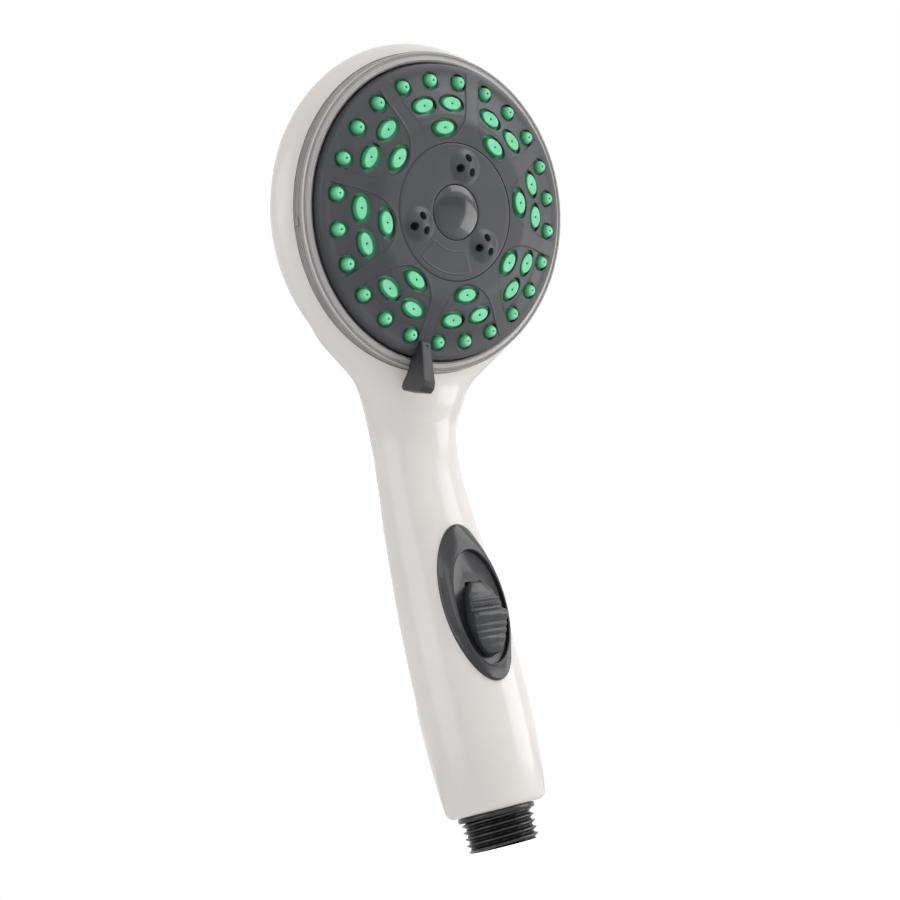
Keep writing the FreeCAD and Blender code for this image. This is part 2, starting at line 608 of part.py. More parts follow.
def manifold():
    """The fixed water distributor: it closes the head's back and carries the turning face on its post."""
    body = newBody("manifold", head=True)
    front, back = -s.manifoldFront, -s.manifoldSeatDepth + s.matGap
    turned(body, "Revolution", outline(newSketch(body, "XZ_Plane"), [
        (s.screwShank - 0.1, -s.postTop), (s.postRadius, -s.postTop), (s.postRadius, front),
        (s.manifoldRadius, front), (s.manifoldRadius, back), (7.0, back), (7.0, back - 3.0),
        (0, back - 3.0), (0, -s.postTop - 8.5), (s.screwShank - 0.1, -s.postTop - 8.5)]))
    # channel from the neck's spigot to the port
    depth = s.neckTubeDepth
    duct = newSketch(body, "XZ_Plane", (0, 0, asSize(8.0)))
    circle(duct, 0, -depth, s.spigotRadius + 1.6)
    feature(body, "Pad", duct, Length=asSize(15.0))
    spigot = newSketch(body, "XZ_Plane", (0, 0, asSize(22.0)))
    circle(spigot, 0, -depth, s.spigotRadius)
    feature(body, "Pad", spigot, Length=asSize(10.5))
    boss = circle(newSketch(body, "XY_Plane", (0, 0, back)), 0, -s.portRing, asSize(5.6))
    feature(body, "Pad", boss, Length=depth - s.manifoldSeatDepth + 3.0, Reversed=True)
    cup = circle(newSketch(body, "XY_Plane", (0, 0, front)), 0, -s.portRing, asSize(4.4))
    feature(body, "Pocket", cup, Length=asSize(5.2))
    way = circle(newSketch(body, "XZ_Plane", (0, 0, asSize(33.0))), 0, -depth, s.spigotBore)
    feature(body, "Pocket", way, Length=33.0 - s.portRing + 1.0)
    down = circle(newSketch(body, "XY_Plane", (0, 0, front)), 0, -s.portRing, s.spigotBore)
    feature(body, "Pocket", down, Length=depth - s.manifoldFront)
    height = asSize(-29.4)
    half = s.ringWire * 1.2
    ringRoot = s.spigotRadius - 2 * s.ringWire
    profile = newSketch(body, "XY_Plane", (0, 0, -depth))
    outline(profile, [(ringRoot, height - half), (s.spigotRadius + 1.0, height - half),
                      (s.spigotRadius + 1.0, height + half), (ringRoot, height + half)])
    turned(body, "Groove", profile)
    for x, y in bossPlaces():
        hole = circle(newSketch(body, "XY_Plane", (0, 0, front)), x, y, s.screwShank + 0.15)
        feature(body, "Pocket", hole, Length=asSize(6.0))
        head = circle(newSketch(body, "XY_Plane", (0, 0, front)), x, y, asSize(2.6))
        feature(body, "Pocket", head, Length=asSize(1.2))
    return body


def portSeal():
    body = newBody("port_seal", head=True)
    front = -s.manifoldFront + 0.35
    turned(body, "Revolution", outline(newSketch(body, "XZ_Plane", (0, 0, s.portRing)), [
        (s.portRadius, front), (4.2, front), (4.2, front - 2.4), (2.9, front - 2.4), (2.9, front - 1.5),
        (s.portRadius, front - 1.5)]))
    return body


def portSpring():
    low = -s.manifoldFront - 4.85
    helix = doc.addObject("Part::Helix", "SpringLine")
    helix.Pitch, helix.Height, helix.Radius = 0.95, 2.6, 3.4
    place(helix, headPoint(0, -s.portRing, low), acrossX, headTurn)
    wire = doc.addObject("Part::Circle", "SpringWire")
    wire.Radius = 0.25
    start = headPoint(asSize(3.4), -s.portRing, low)
    place(wire, start, acrossX, s.faceTilt)
    spring = doc.addObject("Part::Sweep", "Spring")
    spring.Sections = [wire]
    spring.Spine = (helix, [])
    spring.Solid = True
    spring.Frenet = True
    return keep(spring, "port_spring")


def clickSpring():
    """A bent strip that drops into the notches behind the turning face."""
    body = newBody("click_spring", head=True)
    back = -s.manifoldFront + s.matGap
    thick = 0.35
    nose = -s.chamberBack - s.diverterThick + 0.35
    strip = newSketch(body, "XZ_Plane", (0, 0, asSize(-33.0)))
    outline(strip, [(-8.0, back), (-5.0, back), (-1.4, back), (0.0, nose - thick), (1.4, back), (4.0, back),
                    (4.0, back + thick), (1.2, back + thick), (0.0, nose), (-1.2, back + thick),
                    (-8.0, back + thick)])
    feature(body, "Pad", strip, Length=asSize(1.8), Midplane=True)
    return body


def centreScrew():
    under, tip = headPoint(0, 0, -s.postTop + s.washerThick + 0.15), headPoint(0, 0, -s.postTop - 8.1)
    head = cylinder(s.screwHead, s.screwHeadTall, under, acrossX, headTurn)
    shank = cylinder(s.screwShank - 0.15, s.washerThick + 8.3, tip, acrossX, headTurn)
    screw = doc.addObject("Part::MultiFuse", "Fuse")
    screw.Shapes = [head, shank]
    return keep(screw, "centre_screw")


def screwWasher():
    body = newBody("screw_washer", head=True)
    ring = newSketch(body, "XY_Plane", (0, 0, -s.postTop + 0.05))
    circle(ring, 0, 0, s.washerRadius)
    circle(ring, 0, 0, s.screwShank)
    feature(body, "Pad", ring, Length=s.washerThick)
    return body


def manifoldScrews():
    screws = []
    for x, y in bossPlaces():
        under, tip = headPoint(x, y, -s.manifoldFront - 1.15), headPoint(x, y, -s.manifoldFront - 9.0)
        head = cylinder(asSize(2.4), asSize(1.0), under, acrossX, headTurn)
        shank = cylinder(s.screwShank, asSize(9.0), tip, acrossX, headTurn)
        screw = doc.addObject("Part::MultiFuse", "Fuse")
        screw.Shapes = [head, shank]
        screws.append(screw)
    return group("manifold_screws", screws)


def switchBezel():
    """The oval surround: a saddle-backed flange, a raised lip and a recessed floor with a slot."""
    body = newBody("switch_bezel")
    tilt = Size(-3.0)

    def level(forward, turn=tilt):
        """A plane along the handle's front, this far forward of the handle's axis."""
        return newSketch(body, "XZ_Plane", (0, s.bezelHeight, forward), acrossX, turn)

    wide, tall = s.bezelHalfWidth, s.bezelHalfLength
    crown = asSize(20.7)
    crownFront = s.bezelFront - 1.2
    feature(body, "Pad", ellipse(level(asSize(9.0)), 0, 0, wide, tall), Length=asSize(9.0))
    outside = newSketch(body, "XY_Plane", (0, crown - crownFront, s.bezelHeight), acrossX, -tilt)
    circle(outside, 0, 0, crown)
    circle(outside, 0, 0, crown + 12.0)
    feature(body, "Pocket", outside, Length=asSize(70.0), Midplane=True)
    raised = [ellipse(level(s.bezelFront - 3.6), 0, 0, wide - 0.4, tall - 0.7),
              ellipse(level(s.bezelFront), 0, -1.5, s.recessHalfWidth + 0.7, s.recessHalfLength + 1.2)]
    loft(body, "AdditiveLoft", raised, ruled=True)
    loft(body, "SubtractiveLoft", handleSketches(body, handleSections(-s.matGap)))
    plug = ellipse(level(s.carrierFront + s.clearance, 0), 0, 0,
                   wide - s.openingMargin - 0.15, tall - s.openingMargin - 0.15)
    feature(body, "Pad", plug, Length=asSize(2.0))
    floorBack = s.recessFloor - s.bezelFloorThick
    hollow = ellipse(level(floorBack, 0), 0, 0, wide - s.openingMargin - 1.5, tall - s.openingMargin - 1.5)
    feature(body, "Pocket", hollow, Length=asSize(4.0))
    recess = ellipse(level(s.bezelFront + 3.0, 0), 0, -1.9, s.recessHalfWidth, s.recessHalfLength)
    feature(body, "Pocket", recess, Length=s.bezelFront + 3.0 - s.recessFloor)
    slot = newSketch(body, "XZ_Plane", (0, 0, s.bezelFront))
    gap = s.clearance
    x, low, high = s.neckHalfWidth + gap, s.neckLow - gap, s.neckHigh + s.slideTravel + gap
    outline(slot, [(-x, low), (x, low), (x, high), (-x, high)])
    feature(body, "Pocket", slot, Length=asSize(8.0))
    return body


# ---------- selector: the turning face ----------

def petalSketch(body, height):
    """A sketch whose +X points at the middle of a petal."""
    return newSketch(body, "XY_Plane", (0, 0, height), alongZ, petalAngle)


def petalHoles(sketch, roundHole, oval):
    """One petal's three round and three oval places. An oval is half its size across and along the petal."""
    for turn in (-15, 0, 15):
        angle = Size(turn)
        circle(sketch, s.nozzleRing * cosine(angle), s.nozzleRing * sine(angle) if turn else 0, roundHole)
    for side in (-1, 1):
        angle = s.midSpread * side
        oval(sketch, s.midRing * cosine(angle), s.midRing * sine(angle))
    oval(sketch, s.innerRing, 0)


def faceplate():
    body = newBody("faceplate", head=True)
    skirt, edge = -s.skirtDepth, s.plateRadius
    flatBack, bendBack = s.plateTop - s.plateThick, -s.plateBendDepth - s.plateThick
    inner = s.discRadius + s.seamGap
    turned(body, "Revolution", outline(newSketch(body, "XZ_Plane"), [
        (inner, s.plateTop), (inner, flatBack), (s.plateFlat, flatBack), (s.plateBend, bendBack),
        (s.skirtInner, bendBack - 0.3), (s.skirtInner, skirt), (edge, skirt),
        (edge, -s.plateEdgeDepth - 0.9, asSize(1.1), -1), (edge - 1.0, -s.plateEdgeDepth + 0.05),
        (s.plateBend, -s.plateBendDepth), (s.plateFlat, s.plateTop)]))
    holes = petalSketch(body, asSize(6.0))
    petalHoles(holes, s.nozzleHole,
               lambda sketch, x, y: ellipse(sketch, x, y, s.ovalShort + s.ovalGap, s.ovalLong + s.ovalGap))
    around(body, cutThrough(body, holes), petals)
    seat = newSketch(body, "XY_Plane", (0, 0, asSize(6.0)), alongZ, leverAngle)
    half = leverHalf + s.matGap
    outline(seat, [(leverStart - s.matGap, -half), (edge + 2.0, -half), (edge + 2.0, half),
                   (leverStart - s.matGap, half)])
    feature(body, "Pocket", seat, Length=6.0 + leverSeat + s.matGap)
    return body


def selectorLever():
    """The finger lever: its foot is keyed into the plate's edge, its end flares forward and back."""
    body = newBody("selector_lever", head=True)
    side = newSketch(body, "XZ_Plane", (0, 0, 0), alongY, leverAngle)
    overRing = -s.ringFront + 0.6
    tip = leverStart + 15.0
    outline(side, [(leverStart, -leverSeat), (s.plateRadius + 0.2, -leverSeat),
                   (s.plateRadius + 0.2, overRing), (s.ringOuter + 0.6, overRing),
                   (s.ringOuter + 0.8, overRing - 0.8), (tip - 1.8, asSize(-5.8)), (tip - 0.6, asSize(-5.6)),
                   (tip, asSize(-4.6)), (tip, asSize(2.6), asSize(2.2), 1), (tip - 2.0, asSize(4.5)),
                   (tip - 3.8, asSize(4.5)), (leverStart + 5.4, asSize(1.6)), (leverStart, -0.9)])
    feature(body, "Pad", side, Length=2 * leverHalf, Midplane=True)
    return body


def nozzleMat():
    """The soft sheet behind the plate, with every nozzle standing through the plate's holes."""
    body = newBody("nozzle_mat", head=True)
    top = s.plateTop - s.plateThick - s.matGap
    bend = -s.plateBendDepth - s.plateThick - s.matGap
    turned(body, "Revolution", outline(newSketch(body, "XZ_Plane"), [
        (s.matInner, top), (s.matInner, top - s.matThick), (s.plateFlat, top - s.matThick),
        (s.plateBend, bend - s.matThick), (s.matOuter, bend - s.matThick - 0.3), (s.matOuter, bend - 0.3),
        (s.plateBend, bend), (s.plateFlat, top)]))
    nozzleAt = (s.nozzleRing * cosine(petalAngle), 0, -s.nozzleRing * sine(petalAngle))
    nozzle = newSketch(body, "XZ_Plane", nozzleAt,
                       alongY, petalAngle)
    tip = -s.nozzleTipDepth
    turned(body, "Revolution", outline(nozzle, [
        (0, tip), (0, bend - 0.9), (s.nozzleBase, bend - 0.9), (s.nozzleTip, tip - 0.9, asSize(1.2), -1),
        (asSize(0.35), tip)]))
    around(body, body.Tip, 3 * petals)
    for radius, spread, low, high in ((s.midRing, s.midSpread, matFront(s.midRing) - 0.9, asSize(0.0)),
                                      (s.innerRing, None, top - 0.8, s.innerOvalTop)):
        ovals = petalSketch(body, low)
        if spread is None:
            ellipse(ovals, radius, 0, s.ovalShort, s.ovalLong)
        else:
            for side in (-1, 1):
                ellipse(ovals, radius * cosine(spread * side), radius * sine(spread * side),
                        s.ovalShort, s.ovalLong)
        pad = feature(body, "Pad", ovals, Length=high - low)
        around(body, pad, petals)
    pins = petalSketch(body, asSize(6.0))
    petalHoles(pins, s.pinhole, lambda sketch, x, y: circle(sketch, x, y, s.pinhole))
    around(body, cutThrough(body, pins), petals)
    return body


def jetDisc():
    """The centre disc with three domes of three jets, and a skirt that walls the turbine's chamber."""
    body = newBody("jet_disc", head=True)
    top, lip = s.plateTop, s.plateTop - s.discThick
    bore = s.capRadius + 0.08
    skirtIn = s.discRadius - s.discSkirtWall
    turned(body, "Revolution", outline(newSketch(body, "XZ_Plane"), [
        (bore, top), (bore, -s.capSeatDepth), (bore - s.capLip, -s.capSeatDepth), (bore - s.capLip, lip),
        (skirtIn, lip), (skirtIn, -s.discSkirtDepth), (s.discRadius, -s.discSkirtDepth),
        (s.discRadius, top)]))
    domeAt = (s.jetRing * cosine(leverAngle + 180), 0, -s.jetRing * sine(leverAngle + 180))
    dome = newSketch(body, "XZ_Plane", domeAt,
                     alongY, leverAngle + 180)
    domeArc = (s.jetDome * s.jetDome + s.jetRise * s.jetRise) / (2 * s.jetRise)
    bump = turned(body, "Revolution", outline(dome, [
        (0, top + s.jetRise), (0, top - 0.5), (s.jetDome, top - 0.5), (s.jetDome, top, domeArc, -1)]))
    around(body, bump, 3)
    # the same three holes in every dome, one of them pointing away from the lever
    for k in range(3):
        centre = leverAngle + 180 + 120 * k
        for j in range(3):
            spot = leverAngle + 180 + 120 * j
            hole = newSketch(body, "XY_Plane", (0, 0, asSize(8.0)))
            circle(hole, s.jetRing * cosine(centre) + s.jetHoleRing * cosine(spot),
                   s.jetRing * sine(centre) + s.jetHoleRing * sine(spot), s.jetHole)
            cutThrough(body, hole)
    return body


def centreCap():
    body = newBody("centre_cap", head=True)
    seat = -s.capSeatDepth + 0.03
    crown = s.plateTop + s.capRise
    crownEdge = s.plateTop + 0.15
    rise = crown - crownEdge
    crownArc = (s.capRadius * s.capRadius + rise * rise) / (2 * rise)
    turned(body, "Revolution", outline(newSketch(body, "XZ_Plane"), [
        (0, crown), (0, crown - 1.4), (s.capRadius - 2.6, crown - 1.4), (s.capRadius - 2.6, seat),
        (s.capRadius, seat), (s.capRadius, crownEdge, crownArc, -1)]))
    return body


def chamberPlate():
    """The water chambers behind the mat: ring walls, a raised floor under the turbine and its hub."""
    body = newBody("chamber_plate", head=True)
    floor, back = -s.chamberFloor, -s.chamberBack
    bore = s.postRadius + s.runningGap
    matBack = s.plateTop - s.plateThick - s.matGap * 2 - s.matThick
    raised = -s.turbineFloor
    inner = s.discRadius - s.discSkirtWall - 0.1
    outerTop = -s.plateBendDepth - s.plateThick - s.matThick - s.matGap * 2 - 0.35

    def under(radius):
        return matFront(radius) - s.matThick - s.matGap

    midWall, innerWall = asSize(34.6), asSize(27.3)
    edge = [(bore, -s.hubTop), (s.hubRadius, -s.hubTop), (s.hubRadius, raised), (inner, raised),
            (inner, -s.discSkirtDepth - 0.1), (s.matInner + 0.1, -s.discSkirtDepth - 0.1),
            (s.matInner + 0.1, matBack),
            (s.matInner + 0.1 + s.chamberWall, matBack), (s.matInner + 0.1 + s.chamberWall, floor)]
    for wall in (innerWall, midWall):
        edge += [(wall, floor), (wall, under(wall + s.chamberWall)),
                 (wall + s.chamberWall, under(wall + s.chamberWall)), (wall + s.chamberWall, floor)]
    rim = s.skirtInner - 0.1
    edge += [(rim - s.chamberWall, floor), (rim - s.chamberWall, outerTop), (rim, outerTop), (rim, back),
             (bore, back)]
    turned(body, "Revolution", outline(newSketch(body, "XZ_Plane"), edge))
    for angle, outlets in sprayWays():
        for radius in outlets:
            port = newSketch(body, "XY_Plane", (0, 0, asSize(2.0)))
            circle(port, radius * cosine(angle), radius * sine(angle), s.portRadius - 0.6)
            feature(body, "Pocket", port, Length=asSize(16.0))
    return body


def diverterDisc():
    """The ported disc that turns past the fixed port: each port leads outward to one chamber."""
    body = newBody("diverter_disc", head=True)
    front = -s.chamberBack - s.matGap
    disc = newSketch(body, "XY_Plane", (0, 0, front))
    circle(disc, 0, 0, s.skirtInner - 0.4)
    circle(disc, 0, 0, s.postRadius + s.runningGap)
    feature(body, "Pad", disc, Length=s.diverterThick, Reversed=True)
    for angle, outlets in sprayWays():
        hole = newSketch(body, "XY_Plane", (0, 0, asSize(2.0)))
        circle(hole, s.portRing * cosine(angle), s.portRing * sine(angle), s.portRadius - 0.4)
        feature(body, "Pocket", hole, Length=asSize(20.0))
        channel = newSketch(body, "XY_Plane", (0, 0, front), alongZ, angle)
        near, far = min(outlets + (14.0,)), max(outlets + (14.0,)) + 1.2
        outline(channel, [(near, -1.5), (far, -1.5), (far, 1.5), (near, 1.5)])
        feature(body, "Pocket", channel, Length=asSize(1.1))
    ringSeat = circle(newSketch(body, "XY_Plane", (0, 0, front)), 0, 0, s.postRadius + 1.05)
    feature(body, "Pocket", ringSeat, Length=asSize(1.0))
    notch = newSketch(body, "XY_Plane", (0, 0, front - s.diverterThick - 1.0))
    clickAngle = Size(90.0)
    circle(notch, 33.0 * cosine(clickAngle), asSize(33.0), asSize(1.8))
    feature(body, "Pocket", notch, Length=asSize(1.8), Reversed=True)
    around(body, body.Tip, 15)
    return body


def hubSeal():
    return torusRing("hub_seal", s.postRadius + 0.45 + 0.06, asSize(0.45),
                     headPoint(0, 0, -s.chamberBack - s.matGap - 0.5), acrossX, headTurn)


# ---------- turbine ----------

def pulseTurbine():
    """The spinning shutter that pulses the centre jets: half its web is open."""
    body = newBody("pulse_turbine", head=True)
    front = -s.turbineFront
    bore = s.hubRadius + s.runningGap
    hub = newSketch(body, "XY_Plane", (0, 0, front))
    circle(hub, 0, 0, bore + s.turbineHubWall)
    circle(hub, 0, 0, bore)
    feature(body, "Pad", hub, Length=s.turbineThick, Reversed=True)
    web = newSketch(body, "XY_Plane", (0, 0, front))
    circle(web, 0, 0, s.turbineRadius)
    circle(web, 0, 0, bore + 0.3)
    feature(body, "Pad", web, Length=s.turbineWeb, Reversed=True)
    window = newSketch(body, "XY_Plane", (0, 0, front + 1.0))
    inner = bore + s.turbineHubWall + 0.4
    outer = s.turbineRadius - 1.0
    outline(window, [(-outer + 1.2, 0.6), (-outer * 0.62, outer * 0.74), (outer * 0.62, outer * 0.74),
                     (outer - 1.2, 0.6),
                     (inner, 0.6), (inner, inner), (-inner, inner), (-inner, 0.6)])
    cutThrough(body, window)
    blade = newSketch(body, "XY_Plane", (0, 0, front - s.turbineWeb + 0.1))
    half = s.bladeThick / 2
    outline(blade, [(bore + 0.5, -half), (s.turbineRadius - 0.3, -half), (s.turbineRadius - 0.3, half),
                    (bore + 0.5, half)])
    pad = feature(body, "Pad", blade, Length=s.turbineThick - s.turbineWeb, Reversed=True)
    around(body, pad, 8)
    return body


# ---------- thumb slide ----------

def thumbSlide():
    """The ribbed pause button, with the neck that reaches through the surround's slot."""
    body = newBody("thumb_slide")
    back = s.recessFloor + s.clearance + 0.55
    face = s.thumbFace
    low, high = s.thumbBottom, s.thumbTop
    side = newSketch(body, "YZ_Plane")
    profile = [(-back, low), (-(face - 2.2), low)]
    for z, rise in ((3.6, 0.1), (6.6, 0.9), (8.2, 0.3), (10.8, 3.0), (12.0, 3.0), (13.6, 0.6), (15.2, 1.2),
                    (16.8, 0.3), (18.6, 0.7), (20.6, -0.2)):
        profile.append((-(face + rise), low + z))
    profile += [(-(face - 1.4), high), (-back, high)]
    outline(side, profile)
    feature(body, "Pad", side, Length=2 * s.thumbHalfWidth, Midplane=True)
    trim = newSketch(body, "XZ_Plane", (0, 0, back - 1.0))
    middle, tall = (low + high) / 2, (high - low) / 2
    ellipse(trim, 0, middle, s.thumbHalfWidth, tall)
    circle(trim, 0, middle, asSize(30.0))
    feature(body, "Pocket", trim, Length=asSize(15.0), Reversed=True)
    neck = newSketch(body, "XZ_Plane", (0, 0, s.carrierFront))
    w = s.neckHalfWidth
    outline(neck, [(-w, s.neckLow), (w, s.neckLow), (w, s.neckHigh), (-w, s.neckHigh)])
    feature(body, "Pad", neck, Length=back + 0.5 - s.carrierFront)
    return body


def slideCarrier():
    """The plate behind the surround that carries the button and forks round the spool's tail."""
    body = newBody("slide_carrier")
    plate = newSketch(body, "XZ_Plane", (0, 0, s.carrierFront - s.matGap))
    w = s.carrierHalfWidth
    outline(plate, [(-w, s.forkLow), (w, s.forkLow), (w, s.carrierTop), (-w, s.carrierTop)])
    feature(body, "Pad", plate, Length=s.carrierThick, Reversed=True)
    leg = newSketch(body, "XY_Plane", (0, 0, s.forkLow))
    rod = asSize(1.5) + 0.15
    front, end = -(s.carrierFront - 1.0), -s.spoolForward + 2.0
    outline(leg, [(-4.0, front), (4.0, front), (4.0, end), (rod, end), (rod, -s.spoolForward - rod),
                  (-rod, -s.spoolForward - rod), (-rod, end), (-4.0, end)])
    feature(body, "Pad", leg, Length=s.forkHigh - s.forkLow)
    return body


def valveSpool():
    """A stepped rod: guide land, waist over the ports, sealing land, and a tail in the carrier's fork."""
    body = newBody("valve_spool")
    land, waist, tail = s.spoolRadius, asSize(1.7), asSize(1.5)
    low = s.portLow - 5.3
    groove = land - 2 * s.ringWire
    edge = [(0, s.forkLow - 1.6), (2.3, s.forkLow - 1.6), (2.3, s.forkLow - 0.1), (tail, s.forkLow - 0.1),
            (tail, s.forkHigh + 0.1), (2.3, s.forkHigh + 0.1), (2.3, s.forkHigh + 1.2),
            (tail, s.forkHigh + 1.2),
            (tail, s.valveBottom + 1.4), (land, s.valveBottom + 1.4)]
    for z in spoolRingHeights(low):
        half = s.ringWire * 1.2
        edge += [(land, z - half), (groove, z - half), (groove, z + half), (land, z + half)]
    edge += [(land, low + 3.2), (waist, low + 3.2), (waist, s.portHigh + 3.4), (land, s.portHigh + 3.4),
             (land, s.portHigh + 6.2), (0, s.portHigh + 6.2)]
    turned(body, "Revolution", outline(newSketch(body, "XZ_Plane", (0, 0, s.spoolForward)), edge))
    return body


def spoolRingHeights(low):
    return (s.valveBottom + 2.6, low + 1.6)


def spoolRings():
    low = s.portLow - 5.3
    return group("spool_rings", [torusRing(None, s.spoolRadius - s.ringWire + 0.02, s.ringWire,
                                           (0, -s.spoolForward, z)) for z in spoolRingHeights(low)])


for build in (handleShell, clearRing, inletFitting, inletFilter, flowRestrictor, inletSeal, lowerTube,
              valveBody, upperTube, tubeSeals, manifold, portSeal, portSpring, clickSpring, centreScrew,
              screwWasher, manifoldScrews, switchBezel, faceplate, selectorLever, nozzleMat, jetDisc, centreCap,
              chamberPlate, diverterDisc, hubSeal, pulseTurbine, thumbSlide, slideCarrier, valveSpool,
              spoolRings):
    build()
doc.recompute()

failed = [f"{thing.Name} ({thing.Label})" for thing in doc.Objects
          if {"Invalid", "Error"} & set(thing.State) and not thing.isDerivedFrom("App::OriginFeature")]
for piece in pieces:
    if piece.Shape.isNull() or not piece.Shape.isValid() or not piece.Shape.Solids:
        failed.append(piece.Label + ": no valid shape")
if failed:
    raise RuntimeError("not built: " + ", ".join(failed))

os.makedirs("parts", exist_ok=True)
for piece in pieces:
    piece.Shape.exportStep(f"parts/{piece.Label}.step")
    print(f"{piece.Label:18s} solids {len(piece.Shape.Solids)} volume {piece.Shape.Volume:10.1f}")
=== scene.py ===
import json
import math

import bmesh
import bpy
import numpy as np
from mathutils import Matrix, Vector
from mathutils.geometry import delaunay_2d_cdt


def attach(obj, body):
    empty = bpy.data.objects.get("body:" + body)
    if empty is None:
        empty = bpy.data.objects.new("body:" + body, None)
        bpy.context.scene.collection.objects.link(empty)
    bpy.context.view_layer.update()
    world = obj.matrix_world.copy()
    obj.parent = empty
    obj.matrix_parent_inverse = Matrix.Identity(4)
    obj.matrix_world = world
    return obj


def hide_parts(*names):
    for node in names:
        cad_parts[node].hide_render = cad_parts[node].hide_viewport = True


# Handheld shower head: moulded housing, clear ring, turning spray face, pause slide and threaded inlet.
# Shapes are worked out in millimetres, most of them in the head's own frame, and scaled when a mesh is made.

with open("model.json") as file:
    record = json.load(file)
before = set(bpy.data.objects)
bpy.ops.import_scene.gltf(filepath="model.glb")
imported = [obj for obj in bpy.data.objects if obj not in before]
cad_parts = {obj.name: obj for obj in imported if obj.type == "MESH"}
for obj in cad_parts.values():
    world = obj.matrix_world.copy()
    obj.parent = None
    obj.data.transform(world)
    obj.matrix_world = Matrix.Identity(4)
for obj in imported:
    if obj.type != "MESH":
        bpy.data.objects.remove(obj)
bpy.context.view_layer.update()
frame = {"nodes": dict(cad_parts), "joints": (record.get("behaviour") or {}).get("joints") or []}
mm = 0.001

turnJoint = next(j for j in frame["joints"] if j["name"] == "selector_turn")
headCentre = np.array(turnJoint["pos_m"]) / mm
sprayAxis = np.array(turnJoint["axis"]) / np.linalg.norm(turnJoint["axis"])
headAxes = np.array([(1.0, 0.0, 0.0), np.cross(sprayAxis, (1.0, 0.0, 0.0)), sprayAxis])
tilt = math.atan2(-sprayAxis[2], -sprayAxis[1])
leverAngle = math.radians(-102)
petalAngle = leverAngle + math.radians(22.5)
petals = 8


def fromHead(points):
    return headCentre + np.asarray(points, float) @ headAxes


def toHead(points):
    return (np.asarray(points, float) - headCentre) @ headAxes.T


def asIs(points):
    return np.asarray(points, float)


def report(text):
    print("scene:", text, flush=True)


def spot(radius, angle):
    return radius * math.cos(angle), radius * math.sin(angle)


def arc(radius, angles):
    return np.stack([radius * np.cos(angles), radius * np.sin(angles)], 1)


def fullTurn(steps):
    return np.linspace(0, 2 * math.pi, steps, endpoint=False)


def polar(points):
    # each point's radius and angle
    return np.hypot(points[:, 0], points[:, 1]), np.arctan2(points[:, 1], points[:, 0])


def atHeight(flat, height):
    return np.column_stack([flat, np.full(len(flat), float(height))])


def eased(share):
    # from 0 to 1 with a level start and end
    return share * share * (3 - 2 * share)


def softMax(a, b, width):
    # the larger of two distances, blended where they are nearly equal
    near = np.maximum(width - abs(a - b), 0)
    return np.maximum(a, b) + near * near / (4 * width)


def roundMax(a, b, radius):
    # the larger of two distances, with a rounded edge where they meet
    a, b = a + radius, b + radius
    return np.minimum(np.maximum(a, b), 0) + np.hypot(np.maximum(a, 0), np.maximum(b, 0)) - radius


def addMesh(name, points, faces):
    mesh = bpy.data.meshes.new(name)
    mesh.from_pydata((np.asarray(points, float) * mm).tolist(), [], [tuple(int(i) for i in f) for f in faces])
    piece = bpy.data.objects.new(name, mesh)
    bpy.context.scene.collection.objects.link(piece)
    return piece


def cleanUp(piece, sharpAngle=35, merge=0.002):
    work = bmesh.new()
    work.from_mesh(piece.data)
    bmesh.ops.remove_doubles(work, verts=work.verts, dist=merge * mm)
    bmesh.ops.dissolve_degenerate(work, edges=work.edges, dist=merge * mm * 0.5)
    bmesh.ops.recalc_face_normals(work, faces=work.faces)
    work.to_mesh(piece.data)
    work.free()
    return shade(piece, sharpAngle)


def shade(piece, sharpAngle=35):
    piece.data.shade_smooth()
    piece.data.set_sharp_from_angle(angle=math.radians(sharpAngle))
    return piece


def applySteps(piece):
    # the modifiers' result becomes the piece's own mesh
    graph = bpy.context.evaluated_depsgraph_get()
    mesh = bpy.data.meshes.new_from_object(piece.evaluated_get(graph))
    piece.modifiers.clear()
    piece.data = mesh
    return piece


def combine(piece, tool, operation="DIFFERENCE"):
    step = piece.modifiers.new("cut", "BOOLEAN")
    step.operation = operation
    step.object = tool
    step.solver = "MANIFOLD"
    applySteps(piece)
    bpy.data.objects.remove(tool)
    return piece


def thicken(piece, thickness):
    wall = piece.modifiers.new("wall", "SOLIDIFY")
    wall.thickness = thickness * mm
    wall.offset = -1
    wall.use_even_offset = False
    wall.use_quality_normals = True
    return applySteps(piece)


def soften(piece, width, segments=3, angle=40):
    edge = piece.modifiers.new("edge", "BEVEL")
    edge.width = width * mm
    edge.segments = segments
    edge.limit_method = "ANGLE"
    edge.angle_limit = math.radians(angle)
    return applySteps(piece)


def joined(parts):
    # several (points, faces) as one
    points, faces, count = [], [], 0
    for p, f in parts:
        points.append(np.asarray(p, float))
        faces += [tuple(int(i) + count for i in face) for face in f]
        count += len(p)
    return np.concatenate(points), faces


